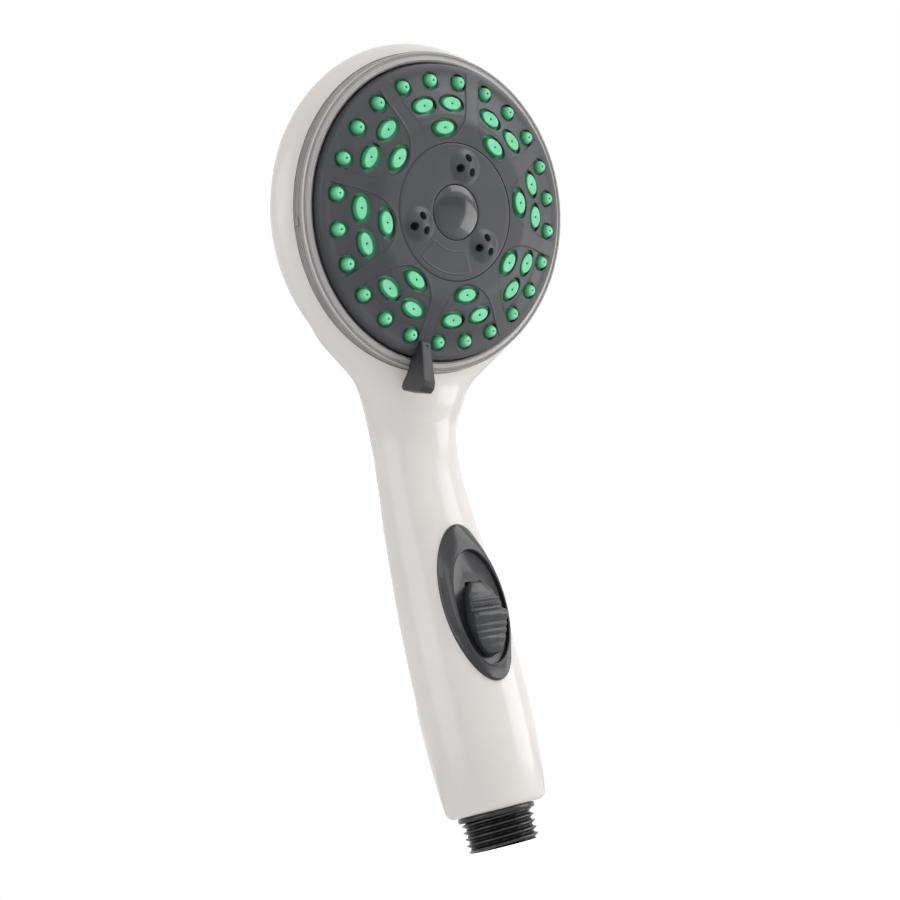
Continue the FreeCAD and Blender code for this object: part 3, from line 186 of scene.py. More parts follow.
def rounded(corners, closed=True, steps=5):
    # corners are (x, y), or (x, y, radius) where the corner is rounded
    out = []
    for i, corner in enumerate(corners):
        here = np.array(corner[:2], float)
        if len(corner) < 3 or (not closed and i in (0, len(corners) - 1)):
            out.append(here)
            continue
        before = np.array(corners[i - 1][:2], float) - here
        after = np.array(corners[(i + 1) % len(corners)][:2], float) - here
        room = 0.49 * min(np.linalg.norm(before), np.linalg.norm(after))
        before, after = before / np.linalg.norm(before), after / np.linalg.norm(after)
        half = math.acos(np.clip(before @ after, -1, 1)) / 2
        reach = min(corner[2] / math.tan(half), room)
        middle = (before + after) / np.linalg.norm(before + after)
        centre = here + middle * reach / math.cos(half)
        first, last = here + before * reach - centre, here + after * reach - centre
        start = math.atan2(first[1], first[0])
        sweep = (math.atan2(last[1], last[0]) - start + math.pi) % (2 * math.pi) - math.pi
        radius = np.linalg.norm(first)
        for k in range(steps + 1):
            turn = start + sweep * k / steps
            out.append(centre + radius * np.array((math.cos(turn), math.sin(turn))))
    return np.array(out)


def smoothLine(values, knots, x):
    # a smooth curve through the knots, the same kind as a Catmull-Rom spline
    knots, values = np.asarray(knots, float), np.asarray(values, float)
    slopes = np.gradient(values, knots)
    i = np.clip(np.searchsorted(knots, x) - 1, 0, len(knots) - 2)
    width = knots[i + 1] - knots[i]
    t = np.clip((x - knots[i]) / width, 0, 1)
    return ((2 * t**3 - 3 * t**2 + 1) * values[i] + (t**3 - 2 * t**2 + t) * width * slopes[i]
            + (3 * t**2 - 2 * t**3) * values[i + 1] + (t**3 - t**2) * width * slopes[i + 1])


def ringStack(rings, closedLoop=False):
    # quads between equally long rings of points, and a fan over each end unless the stack is a closed loop
    count, size = len(rings), len(rings[0])
    points = np.concatenate([np.asarray(r, float) for r in rings])
    faces = []
    for i in range(count if closedLoop else count - 1):
        a, b = i * size, ((i + 1) % count) * size
        for j in range(size):
            k = (j + 1) % size
            faces.append((a + j, a + k, b + k, b + j))
    if not closedLoop:
        points = np.concatenate([points, [np.mean(rings[0], axis=0), np.mean(rings[-1], axis=0)]])
        for j in range(size):
            k = (j + 1) % size
            faces.append((len(points) - 2, k, j))
            faces.append((len(points) - 1, (count - 1) * size + j, (count - 1) * size + k))
    return points, faces


def turnedShape(profile, segments, centre=(0.0, 0.0), closedLoop=True):
    # a profile of (radius, height) turned about the Z axis through centre
    turn = fullTurn(segments)
    return ringStack([atHeight(arc(r, turn) + centre, h) for r, h in profile], closedLoop)


def turnedPiece(name, profile, segments, place=fromHead, closedLoop=True, centre=(0.0, 0.0), sharpAngle=35):
    points, faces = turnedShape(profile, segments, centre, closedLoop)
    return cleanUp(addMesh(name, place(points), faces), sharpAngle)


def ovalRing(centre, along, half, height, segments):
    # an ellipse in the head's frame: half is (across, along), along is the direction of its long side
    turn = fullTurn(segments)
    c, s = math.cos(along), math.sin(along)
    u, v = half[0] * np.cos(turn), half[1] * np.sin(turn)
    return atHeight(np.stack([centre[0] + u * c - v * s, centre[1] + u * s + v * c], 1), height)


def surfaceFrom(triangles, height):
    # flat points lifted to the height that a function gives them
    flat, faces = triangles
    return flat, np.column_stack([flat, height(flat)]), [tuple(face) for face in faces]


def rimOf(flat, radius):
    # the points on the outer edge, in order round the axis
    r, a = polar(flat)
    rim = np.where(abs(r - radius) < 1e-3)[0]
    return rim[np.argsort(a[rim])]


def added(tree, kind, **settings):
    node = tree.nodes.new(kind)
    for name, value in settings.items():
        setattr(node, name, value)
    return node


def srgb(red, green, blue):
    return tuple((c / 255 / 12.92 if c / 255 <= 0.04045 else ((c / 255 + 0.055) / 1.055) ** 2.4)
                 for c in (red, green, blue)) + (1.0,)


class Finish:
    # a node material under construction
    def __init__(self, name):
        self.material = bpy.data.materials.new(name)
        self.material.use_nodes = True
        self.tree = self.material.node_tree
        self.tree.nodes.clear()
        self.out = self.add("ShaderNodeOutputMaterial")
        self.shader = self.add("ShaderNodeBsdfPrincipled")
        self.link(self.shader.outputs[0], self.out.inputs["Surface"])
        self.place = self.add("ShaderNodeTexCoord")

    def add(self, kind, **settings):
        return added(self.tree, kind, **settings)

    def link(self, a, b):
        self.tree.links.new(a, b)

    def drive(self, name, value):
        self.link(value, self.shader.inputs[name])

    def set(self, **values):
        for name, value in values.items():
            self.shader.inputs[name.replace("_", " ")].default_value = value

    def vectorMath(self, operation, first, second=None):
        node = self.add("ShaderNodeVectorMath", operation=operation)
        self.link(first, node.inputs[0])
        if second is not None:
            node.inputs[1].default_value = tuple(second)
        return node

    def noiseFrom(self, source, size, detail, roughness=0.5):
        # size is the width of one blotch in millimetres
        node = self.add("ShaderNodeTexNoise")
        node.inputs["Scale"].default_value = 1 / (size * mm)
        node.inputs["Detail"].default_value = detail
        node.inputs["Roughness"].default_value = roughness
        self.link(source, node.inputs["Vector"])
        return node.outputs["Fac"]

    def noise(self, size, detail=3.0, stretch=None):
        source = self.place.outputs["Object"]
        if stretch:
            mapping = self.add("ShaderNodeMapping")
            mapping.inputs["Scale"].default_value = stretch
            self.link(source, mapping.inputs["Vector"])
            source = mapping.outputs["Vector"]
        return self.noiseFrom(source, size, detail)

    def turnedNoise(self, size, detail=3.0):
        # lines that run round the spray axis, and the distance from that axis in metres
        away = self.vectorMath("SUBTRACT", self.place.outputs["Object"], headCentre * mm).outputs[0]
        height = self.vectorMath("DOT_PRODUCT", away, sprayAxis).outputs["Value"]
        across = self.vectorMath("CROSS_PRODUCT", away, sprayAxis).outputs[0]
        radius = self.vectorMath("LENGTH", across).outputs["Value"]
        pair = self.add("ShaderNodeCombineXYZ")
        self.link(radius, pair.inputs["X"])
        self.link(height, pair.inputs["Y"])
        return self.noiseFrom(pair.outputs[0], size, detail), radius

    def ranged(self, value, low, high, fromLow=0.3, fromHigh=0.7):
        node = self.add("ShaderNodeMapRange")
        node.inputs["From Min"].default_value = fromLow
        node.inputs["From Max"].default_value = fromHigh
        node.inputs["To Min"].default_value = low
        node.inputs["To Max"].default_value = high
        self.link(value, node.inputs["Value"])
        return node.outputs["Result"]

    def mixed(self, factor, first, second):
        node = self.add("ShaderNodeMix", data_type="RGBA")
        for name, value in (("Factor", factor), (6, first), (7, second)):        # 6 and 7 are the colours
            if isinstance(value, (tuple, float, int)):
                node.inputs[name].default_value = value
            else:
                self.link(value, node.inputs[name])
        return node.outputs[2]

    def bumped(self, heights):
        # heights are (value, strength, millimetres)
        normal = None
        for value, strength, distance in heights:
            node = self.add("ShaderNodeBump")
            node.inputs["Strength"].default_value = strength
            node.inputs["Distance"].default_value = distance * mm
            self.link(value, node.inputs["Height"])
            if normal is not None:
                self.link(normal, node.inputs["Normal"])
            normal = node.outputs["Normal"]
        self.drive("Normal", normal)


def plastic(name, light, dark, gloss, blotch=14.0, grain=0.35, grainDepth=0.01, coat=0.0, wave=0.0):
    # moulded plastic: soft colour drift, fine grain, uneven gloss, and a slow wave where the mould sank
    finish = Finish(name)
    finish.drive("Base Color", finish.mixed(finish.ranged(finish.noise(blotch), 0, 1), dark, light))
    finish.drive("Roughness", finish.ranged(finish.noise(blotch * 0.4, 5), *gloss))
    heights = [(finish.noise(grain, 2), 0.35, grainDepth)]
    if wave:
        heights.append((finish.noise(9.0, 1), 0.5, wave))
    finish.bumped(heights)
    finish.set(IOR=1.49, Coat_Weight=coat, Coat_Roughness=0.06)
    return finish.material


ringLook = {
    "line": 0.5, "lineDepth": 0.08, "band": (46.75, 46.95),        # the outer band starts between these radii
    # front: grey to near-white turned lines, the near white a painted highlight; outside: painted shade of the
    # dark parts seen through the ring, with lighter blotches
    "front": (srgb(158, 153, 150), srgb(253, 252, 251)),
    "outside": (srgb(112, 105, 101), srgb(188, 182, 178)), "haze": srgb(196, 191, 188),
    "gloss": (0.05, 0.13), "clearness": 0.3,
}


def clearPlastic(name):
    # see-through ring: turned lines whose near-white colour on its front is a painted highlight, and a darker
    # outside band that is painted shade of the dark parts seen through the ring
    finish = Finish(name)
    lines, radius = finish.turnedNoise(ringLook["line"], 4)
    band = finish.ranged(radius, 0, 1, *(r * mm for r in ringLook["band"]))
    haze = finish.ranged(finish.noise(9.0, 3), 0, 1)
    # painted highlight: the turned lines on the front go near white
    front = finish.mixed(finish.ranged(lines, 0, 1, 0.4, 0.58), *ringLook["front"])
    # painted shade: the outside band is darkened for the dark plate and seat seen through it
    outside = finish.mixed(finish.ranged(lines, 0, 1, 0.4, 0.6), *ringLook["outside"])
    outside = finish.mixed(finish.ranged(haze, 0, 0.3, 0, 1), outside, ringLook["haze"])
    finish.drive("Base Color", finish.mixed(band, front, outside))
    finish.drive("Roughness", finish.ranged(finish.noise(3.0, 4), *ringLook["gloss"]))
    finish.bumped([(lines, 0.6, ringLook["lineDepth"])])
    finish.set(IOR=1.49, Transmission_Weight=ringLook["clearness"])
    return finish.material


rubberLook = {
    # flank and top: painted shade on the nozzles' sides and painted light on their tops
    "shadedFlank": (srgb(54, 160, 106), srgb(66, 174, 120)), "top": (srgb(112, 214, 162), srgb(132, 228, 180)),
    "gloss": (0.36, 0.5), "glow": (0.4, 1.0, 0.6),      # glow: each colour's spread under the surface
}


def rubber(name):
    # soft silicone with painted light: paler on top where it faces the spray's way, and painted shade on the
    # darker flanks
    finish = Finish(name)
    facing = finish.vectorMath("DOT_PRODUCT", finish.place.outputs["Normal"], sprayAxis)
    rise = finish.ranged(facing.outputs["Value"], 0, 1, 0.1, 0.95)
    drift = finish.ranged(finish.noise(5.0, 4), 0, 1)
    shadedFlank, top = (finish.mixed(drift, *rubberLook[part]) for part in ("shadedFlank", "top"))
    # painted light and shade: the colour goes from the dark flank to the pale top as the surface turns to face
    # the spray's way
    finish.drive("Base Color", finish.mixed(rise, shadedFlank, top))
    finish.drive("Roughness", finish.ranged(finish.noise(2.0, 4), *rubberLook["gloss"]))
    finish.bumped([(finish.noise(0.3, 3), 0.3, 0.012)])
    finish.set(IOR=1.43, Subsurface_Weight=0.12, Subsurface_Scale=0.002, Sheen_Weight=0.1,
               Subsurface_Radius=rubberLook["glow"])
    return finish.material


def metal(name, light, dark, gloss):
    finish = Finish(name)
    finish.drive("Base Color", finish.mixed(finish.ranged(finish.noise(3.0, 5), 0, 1), dark, light))
    finish.drive("Roughness", finish.ranged(finish.noise(0.8, 4, stretch=(1, 1, 6)), *gloss))
    finish.bumped([(finish.noise(0.2, 2, stretch=(1, 1, 5)), 0.2, 0.005)])
    finish.set(Metallic=1.0)
    return finish.material


finishes = {
    # plastics: light and dark colour, gloss, size of the colour drift, size and depth of the grain
    "housing": plastic("whiteHousing", srgb(229, 225, 221), srgb(223, 219, 215), (0.16, 0.24), 30, 0.5, 0.004,
                       coat=0.25, wave=0.01),
    "ring": clearPlastic("clearRing"),
    "thread": plastic("blackThread", srgb(24, 24, 25), srgb(15, 15, 16), (0.16, 0.28), 6, 0.3, 0.006,
                      coat=0.3),
    "face": plastic("slateFace", srgb(67, 68, 72), srgb(59, 60, 64), (0.34, 0.46), 18, 0.28, 0.012),
    "disc": plastic("slateDisc", srgb(66, 67, 71), srgb(58, 59, 63), (0.34, 0.44), 14, 0.28, 0.012),
    "cap": plastic("glossyCap", srgb(58, 59, 62), srgb(50, 51, 54), (0.12, 0.18), 9, 0.5, 0.004, coat=0.5),
    "lever": plastic("leverGrey", srgb(50, 50, 53), srgb(43, 43, 46), (0.36, 0.48), 10, 0.3, 0.012),
    "nozzle": rubber("mintRubber"),
    "surround": plastic("surroundGrey", srgb(45, 46, 49), srgb(37, 38, 41), (0.2, 0.3), 12, 0.4, 0.006,
                        coat=0.2),
    "button": plastic("buttonGrey", srgb(62, 63, 65), srgb(50, 51, 53), (0.24, 0.38), 7, 0.3, 0.015,
                      coat=0.1),
    "innerBlack": plastic("innerBlack", srgb(38, 38, 40), srgb(26, 26, 28), (0.4, 0.55), 8, 0.3, 0.01),
    "innerWhite": plastic("innerWhite", srgb(214, 212, 206), srgb(202, 200, 194), (0.32, 0.45), 8, 0.3, 0.01),
    "tube": plastic("tubeGrey", srgb(150, 152, 154), srgb(134, 136, 138), (0.35, 0.5), 8, 0.3, 0.01),
    "seal": plastic("sealBlack", srgb(28, 28, 28), srgb(18, 18, 18), (0.5, 0.65), 2, 0.2, 0.01),
    "steel": metal("springSteel", (0.62, 0.61, 0.59, 1), (0.5, 0.49, 0.48, 1), (0.22, 0.36)),
    "filter": plastic("filterWhite", srgb(222, 222, 218), srgb(206, 206, 202), (0.4, 0.55), 3, 0.25, 0.02),
}
report("finishes ready")


def settle(piece, body, node, finish):
    # the finished piece rides on its body in place of its CAD node
    piece.data.materials.clear()
    piece.data.materials.append(finishes[finish])
    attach(piece, body)
    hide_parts(node)
    report(f"{piece.name}: {sum(len(p.vertices) - 2 for p in piece.data.polygons)} triangles")
    return piece


studio = {
    "eye": (-0.225431, -0.317092, 0.012051),
    "right": (0.810704, -0.536336, -0.234740),
    "up": (0.039363, -0.350111, 0.935881),
    "back": (-0.584131, -0.767963, -0.262724),
    "lens": 51.92,
    "floorHeight": -0.06,
    # name: place, aimed at, width, height, power
    "lamps": {
        "keySoftbox": ((0.55, -0.62, 0.62), (0, -0.02, 0.12), 0.6, 0.9, 3.7),
        "frontFill": ((-0.25, -0.95, 0.25), (0, -0.02, 0.13), 0.8, 0.8, 0.7),
        "leftPanel": ((-0.85, -0.1, 0.3), (0, -0.02, 0.12), 0.7, 0.7, 1.7),
        "lowSoftbox": ((0.43, -0.27, 0.05), (0.02, -0.05, 0.15), 0.34, 0.2, 0.56),
        "backRim": ((0.35, 0.75, 0.45), (0, 0, 0.12), 0.7, 0.7, 3.0),
    },
    "worldStrength": 0.49, "floorHalf": 3.0, "floorFade": (0.22, 0.6), "floorGlow": 0.45,
    "floorColours": (srgb(236, 236, 236), srgb(240, 240, 240)),
}


def setCamera():
    data = bpy.data.cameras.new("camera")
    data.lens, data.sensor_width = studio["lens"], 36.0
    data.clip_start, data.clip_end = 0.01, 50
    camera = bpy.data.objects.new("camera", data)
    axes = Matrix((studio["right"], studio["up"], studio["back"])).transposed()
    camera.matrix_world = Matrix.Translation(studio["eye"]) @ axes.to_4x4()
    bpy.context.scene.collection.objects.link(camera)
    bpy.context.scene.camera = camera


def hangLamps():
    for name, (place, target, width, height, power) in studio["lamps"].items():
        lamp = bpy.data.lights.new(name, "AREA")
        lamp.shape, lamp.size, lamp.size_y, lamp.energy = "RECTANGLE", width, height, power
        holder = bpy.data.objects.new(name, lamp)
        bpy.context.scene.collection.objects.link(holder)
        holder.location = place
        holder.visible_camera = False
        holder.rotation_euler = (Vector(target) - Vector(place)).to_track_quat("-Z", "Y").to_euler()


def setWorld():
    # white where the camera, a reflection or see-through plastic looks at it, and dimmer as a light
    world = bpy.data.worlds.new("studio")
    bpy.context.scene.world = world
    world.use_nodes = True
    tree = world.node_tree
    tree.nodes.clear()
    out, sky = added(tree, "ShaderNodeOutputWorld"), added(tree, "ShaderNodeBackground")
    path = added(tree, "ShaderNodeLightPath")
    total = path.outputs["Is Camera Ray"]
    for ray in ("Is Glossy Ray", "Is Transmission Ray"):
        either = added(tree, "ShaderNodeMath", operation="ADD", use_clamp=True)
        tree.links.new(total, either.inputs[0])
        tree.links.new(path.outputs[ray], either.inputs[1])
        total = either.outputs[0]
    strength = added(tree, "ShaderNodeMapRange")
    strength.inputs["To Min"].default_value = studio["worldStrength"]
    strength.inputs["To Max"].default_value = 1.0
    tree.links.new(total, strength.inputs["Value"])
    tree.links.new(strength.outputs["Result"], sky.inputs["Strength"])
    sky.inputs["Color"].default_value = (1, 1, 1, 1)
    tree.links.new(sky.outputs[0], out.inputs["Surface"])


def layFloor():
    side, z = studio["floorHalf"], studio["floorHeight"]
    mesh = bpy.data.meshes.new("floor")
    corners = [(-side, -side, z), (side, -side, z), (side, side, z), (-side, side, z)]
    mesh.from_pydata(corners, [], [(0, 1, 2, 3)])
    floor = bpy.data.objects.new("floor", mesh)
    bpy.context.scene.collection.objects.link(floor)
    paper = Finish("paleFloor")
    paper.drive("Base Color", paper.mixed(paper.ranged(paper.noise(60.0), 0, 1), *studio["floorColours"]))
    paper.set(Roughness=0.9, Emission_Color=(1, 1, 1, 1))
    # the floor turns white away from the object, for the camera only
    away = paper.vectorMath("LENGTH", paper.place.outputs["Object"])
    fade = paper.ranged(away.outputs["Value"], studio["floorGlow"], 1.0, *studio["floorFade"])
    glow = paper.add("ShaderNodeMath", operation="MULTIPLY")
    paper.link(paper.add("ShaderNodeLightPath").outputs["Is Camera Ray"], glow.inputs[0])
    paper.link(fade, glow.inputs[1])
    paper.drive("Emission Strength", glow.outputs[0])
    floor.data.materials.append(paper.material)


bpy.context.scene.view_settings.view_transform = "Standard"
setCamera()
hangLamps()
setWorld()
layFloor()
report("stage set")


# The housing is a cup for the head blended into a bent handle, both given as distances from their surface.
housing = {
    # along the handle: distance, middle behind the bend's pivot, half width, half depth
    "sections": [(6, 42.9, 14.3, 12.6), (10, 42.75, 14.9, 13.1), (14, 42.5, 15.6, 13.75),
                 (25, 42.05, 16.7, 14.7), (40, 42, 17.2, 15.1), (55, 42, 17.2, 15.1),
                 (70, 42.15, 16.7, 14.7), (85, 42.35, 15.7, 13.8), (100, 42.4, 14.6, 12.75),
                 (107, 41.9, 14.1, 12.25), (114, 41.2, 13.9, 12.1), (122, 39.75, 14.05, 12.15),
                 (131.9, 36.5, 17.0, 11.8), (140.1, 35.6, 21.0, 11.2), (146.1, 35.0, 27.0, 10.9),
                 (152.1, 34.6, 32.8, 10.4), (165, 34.2, 34.0, 9.5)],
    "pivot": (-43.5, 124.0), "bendLength": 16.1, "tongueEnd": 185.0,
    "bottom": 10.2, "footRound": 1.8, "blend": 4.0, "wall": 2.2,
    # the cup, as radii and depths behind the head's centre
    "shoulder": (47.2, 10.1, 2.6), "shoulderTop": 9.8, "corner": (36.8, 14.0), "cornerDepth": 14.7,
    "dome": (53.5, 91.5), "ledge": -19.0,
    "seat": [(0, 6), (47.3, 6), (47.3, -12.05), (44.45, -12.05), (44.45, -16.75), (42.5, -16.75),
             (42.5, -19.6), (0, -19.6)],
    "socketRadius": 10.25, "socketTop": 21.0, "hollowBottom": 20.6,
    "ductEnd": [(126, 38.9, 12.0, 8.4), (132, 39.5, 13.5, 6.4), (138, 39.6, 15.0, 3.7),
                (150, 39.5, 19.0, 3.6)],
    # the slide's opening: half width, half height, height of its middle
    "opening": (9.8, 22.3, 68.4), "openingReach": (10.0, 30.0),
    "box": ((-54, -76, 5), (54, 18, 231)), "step": 1.05, "onSurface": 0.04,
}


def handleField(points):
    # roughly the distance to the handle's surface, negative inside
    side, y, z = points[..., 0], points[..., 1] - housing["pivot"][0], points[..., 2] - housing["pivot"][1]
    c, s, bend, top = math.cos(tilt), math.sin(tilt), housing["bendLength"], housing["pivot"][1]
    turn = np.arctan2(z, np.maximum(y, 1.0))
    below, above = z <= 0, turn >= tilt
    along = np.where(below, z + top, np.where(above, top + bend - y * s + z * c, top + turn / tilt * bend))
    behind = np.where(below, y, np.where(above, y * c + z * s, np.hypot(y, z)))
    table = np.array(housing["sections"], float)
    middle, wide, deep = (smoothLine(table[:, k], table[:, 0], along) for k in (1, 2, 3))
    v = behind - middle
    size = np.sqrt((side / wide) ** 2 + (v / deep) ** 2) + 1e-6
    slope = np.sqrt(side**2 / wide**4 + v**2 / deep**4) / size + 1e-6
    return np.maximum((size - 1) / slope, along - housing["tongueEnd"])


def cupField(points):
    x, y, z = np.moveaxis(toHead(points), -1, 0)
    r = np.hypot(x, y)
    edgeAt, edgeDepth, edgeSoft = housing["shoulder"]
    arcDepth = housing["cornerDepth"]
    cornerAt, cornerSize = housing["corner"]
    domeAt, domeSize = housing["dome"]
    corner = np.hypot(r - cornerAt, z + arcDepth) - cornerSize
    dome = np.hypot(r, z - domeAt) - domeSize
    back = np.where(r * (domeAt + arcDepth) > cornerAt * (domeAt - z), corner, dome)
    outside = np.where(z > -arcDepth, r - cornerAt - cornerSize, back)
    slope = (r - edgeAt + z + edgeDepth) * math.sqrt(0.5)
    return np.maximum(softMax(outside, slope, edgeSoft), z + housing["shoulderTop"])


def housingField(points):
    body = -softMax(-cupField(points), -handleField(points), housing["blend"])
    return roundMax(body, housing["bottom"] - points[..., 2], housing["footRound"])


def alongHandle(distance, ring):
    # a ring of (side, behind) placed at a distance along the handle's bent line
    bend, (y, top) = housing["bendLength"], housing["pivot"]
    turn = np.clip((distance - top) / bend, 0, 1) * tilt
    straight = min(distance - top, 0) + max(distance - top - bend, 0)
    side, behind = ring.T
    return np.stack([side, y + behind * math.cos(turn) - straight * math.sin(turn),
                     top + behind * math.sin(turn) + straight * math.cos(turn)], 1)


def ductCutter():
    # the room inside the handle: it passes behind the ring's ledge into the cup
    turn = fullTurn(64)
    table, wall = np.array(housing["sections"], float), housing["wall"]
    rows = []
    for distance in np.arange(housing["hollowBottom"], housing["ductEnd"][0][0], 3.0):
        middle, wide, deep = (smoothLine(table[:, k], table[:, 0], distance) for k in (1, 2, 3))
        rows.append((distance, middle, wide - wall, deep - wall))
    return ringStack([alongHandle(distance, np.stack([wide * np.cos(turn), middle + deep * np.sin(turn)], 1))
                      for distance, middle, wide, deep in rows + housing["ductEnd"]])


def cupCutter():
    # the room behind the ring's ledge, a wall's thickness inside the cup
    wall, depth, ledge = housing["wall"], housing["cornerDepth"], housing["ledge"]
    (cornerAt, cornerSize), (domeAt, domeSize) = housing["corner"], housing["dome"]
    domeInside, cornerInside = domeSize - wall, cornerSize - wall
    meet = math.atan2(cornerAt, domeAt + depth)
    first = math.asin((-ledge - depth) / cornerInside)
    profile = [(0, ledge)]
    profile += [(cornerAt + cornerInside * math.cos(a), -depth - cornerInside * math.sin(a))
                for a in np.linspace(first, math.pi / 2 - meet, 12)]
    profile += [(domeInside * math.sin(a), domeAt - domeInside * math.cos(a))
                for a in np.linspace(meet, 0, 16)[1:]]
    return turnedPiece("cupCutter", profile, 192, closedLoop=False)


def slopeOf(field, points, reach=0.02):
    out = np.zeros_like(points)
    for k in range(3):
        step = np.zeros(3)
        step[k] = reach
        out[:, k] = (field(points + step) - field(points - step)) / (2 * reach)
    return out


def halves(axis, low, high, others=slice(None)):
    # the part of a grid that is its near side or its far side along one axis
    part = [others] * 3
    part[axis] = slice(low, high)
    return tuple(part)


def surfaceNet(field, low, high, step):
    # one point in each grid cell that the surface crosses, and a quad round each grid edge that it crosses
    axes = [np.arange(a, b + step, step) for a, b in zip(low, high)]
    grid = np.stack(np.meshgrid(*axes, indexing="ij"), -1)
    value = field(grid)
    cells = tuple(np.array(value.shape) - 1)
    total, count = np.zeros(cells + (3,)), np.zeros(cells)
    for axis in range(3):
        first, second = halves(axis, 0, -1), halves(axis, 1, None)
        a, b = value[first], value[second]
        crossed = (a < 0) != (b < 0)
        share = np.where(crossed, a / (a - b + 1e-12), 0)
        point = (grid[first] + (grid[second] - grid[first]) * share[..., None]) * crossed[..., None]
        i, j = (k for k in range(3) if k != axis)
        for near in (slice(0, -1), slice(1, None)):
            for far in (slice(0, -1), slice(1, None)):
                part = [slice(None)] * 3
                part[i], part[j] = near, far
                total += point[tuple(part)]
                count += crossed[tuple(part)]
    used = count > 0
    index = np.full(used.shape, -1)
    index[used] = np.arange(used.sum())
    points = total[used] / count[used][:, None]

    inside, quads = value < 0, []
    for axis in range(3):
        a = inside[halves(axis, 0, -1, slice(1, -1))]
        b = inside[halves(axis, 1, None, slice(1, -1))]
        base = np.argwhere(a != b)
        if len(base) == 0:
            continue
        i, j = (k for k in range(3) if k != axis)
        corners = []
        for back, down in ((0, 0), (1, 0), (1, 1), (0, 1)):
            cell = base.copy()
            cell[:, i] += back
            cell[:, j] += down
            corners.append(index[tuple(cell.T)])
        quad = np.stack(corners, 1)
        if axis == 1:
            quad = quad[:, ::-1]
        quads.append(np.where(a[tuple(base.T)][:, None], quad, quad[:, ::-1]))
    return points, np.concatenate(quads)


def pullOnto(field, points, rounds=3):
    for _ in range(rounds):
        slope = slopeOf(field, points)
        points = points - slope * (field(points) / np.maximum((slope**2).sum(1), 0.05))[:, None]
    return points


def makeHousing():
    points, quads = surfaceNet(housingField, *housing["box"], housing["step"])
    shell = addMesh("housingShell", pullOnto(housingField, points), quads)
    combine(shell, cleanUp(addMesh("ductCutter", *ductCutter())))
    combine(shell, cupCutter())
    combine(shell, turnedPiece("seatCutter", housing["seat"], 256, closedLoop=False))
    radius, top = housing["socketRadius"], housing["socketTop"]
    socket = [(0, 0), (radius, 0), (radius, top), (0, top)]
    combine(shell, turnedPiece("socketCutter", socket, 96, place=asIs, closedLoop=False))
    halfWide, halfTall, height = housing["opening"]
    near, far = housing["openingReach"]
    turn = fullTurn(96)
    rings = [np.stack([halfWide * np.cos(turn), np.full(96, -y), height + halfTall * np.sin(turn)], 1)
             for y in (far, near)]
    combine(shell, cleanUp(addMesh("openingCutter", *ringStack(rings))))
    shadeFromField(shell)
    return shell


def shadeFromField(shell):
    # smooth faces take the true surface direction, so highlights run clean over the blends
    mesh = shade(shell, 30).data

    def read(items, name, width=1, kind=np.float64):
        values = np.empty(len(items) * width, kind)
        items.foreach_get(name, values)
        return values.reshape(-1, width) if width > 1 else values

    points = read(mesh.vertices, "co", 3) / mm
    corner = read(mesh.loops, "vertex_index", kind=np.int32)
    size = read(mesh.polygons, "loop_total", kind=np.int32)
    faceNormal = read(mesh.polygons, "normal", 3)
    onSurface = abs(housingField(points)) < housing["onSurface"]
    slope = slopeOf(housingField, points)
    slope /= np.linalg.norm(slope, axis=1)[:, None] + 1e-9
    owner = np.repeat(np.arange(len(size)), size)        # each corner's face
    agree = (slope[corner] * faceNormal[owner]).sum(1) > 0.8
    good = np.ones(len(size), bool)
    np.logical_and.at(good, owner, onSurface[corner] & agree)
    normals = np.where(good[owner][:, None], slope[corner], 0.0)
    mesh.normals_split_custom_set(normals.tolist())


settle(makeHousing(), "handle", "handle_shell", "housing")


clearRing = {
    # radius and height of the ring's section, and the radius of its corners
    "profile": [(43.75, -6.3, 0.15), (43.95, -5.6, 0.2), (44.6, -5.5, 0.2), (44.8, -6.0, 0.15),
                (45.8, -6.0, 0.15), (46.0, -5.6, 0.15), (46.5, -5.7, 0.2), (46.65, -6.9, 0.1),
                (46.65, -7.15), (47.15, -7.25, 0.15), (47.15, -12.0), (43.75, -12.0)],
    "key": {"angle": math.radians(186), "wide": 1.1, "inner": 47.0, "deep": 0.5, "low": -9.6, "high": -7.6},
}


def makeClearRing():
    ring = turnedPiece("clearRing", rounded(clearRing["profile"], steps=4), 256, sharpAngle=40)
    key = clearRing["key"]
    inner, far = key["inner"], key["inner"] + key["deep"]
    outline = [(inner, key["low"]), (far, key["low"]), (far, key["high"]), (inner, key["high"])]
    span = key["wide"] / inner
    rings = [[spot(r, key["angle"] + turn) + (h,) for r, h in outline] for turn in np.linspace(-span, span, 6)]
    points, faces = ringStack(rings)
    return combine(ring, cleanUp(addMesh("ringKey", fromHead(points), faces)), "UNION")


settle(makeClearRing(), "handle", "clear_ring", "ring")


inlet = {
    "crest": 10.4775, "root": 9.35, "pitch": 1.814, "threadTop": 8.6537, "threadStep": 0.085,
    "chamfer": 0.7, "chamferRise": 1.05, "crestShare": 0.18, "crestRound": 0.35, "phase": 0.62,
    # radius and height: the bore from its end out to the foot, and the collar and plug above the thread
    "mouth": [(0, 12.0), (4.65, 12.0), (4.65, 8.0), (6.15, 8.0), (6.15, 5.6), (6.8, 5.6), (6.8, 0.35),
              (6.92, 0.1), (7.15, 0)],
    "collar": [(9.35, 8.6), (10.8, 8.6), (11.15, 8.72), (11.3, 9.05), (11.3, 9.8), (11.2, 10.02),
               (11.0, 10.1), (10.2, 10.1), (10.2, 20.5), (0, 20.5)],
    "spigot": {"back": 2.4, "radius": 3.5, "bore": 2.0, "low": 18.5, "top": 27.0, "boreLow": 11.0},
    "segments": 128,
}


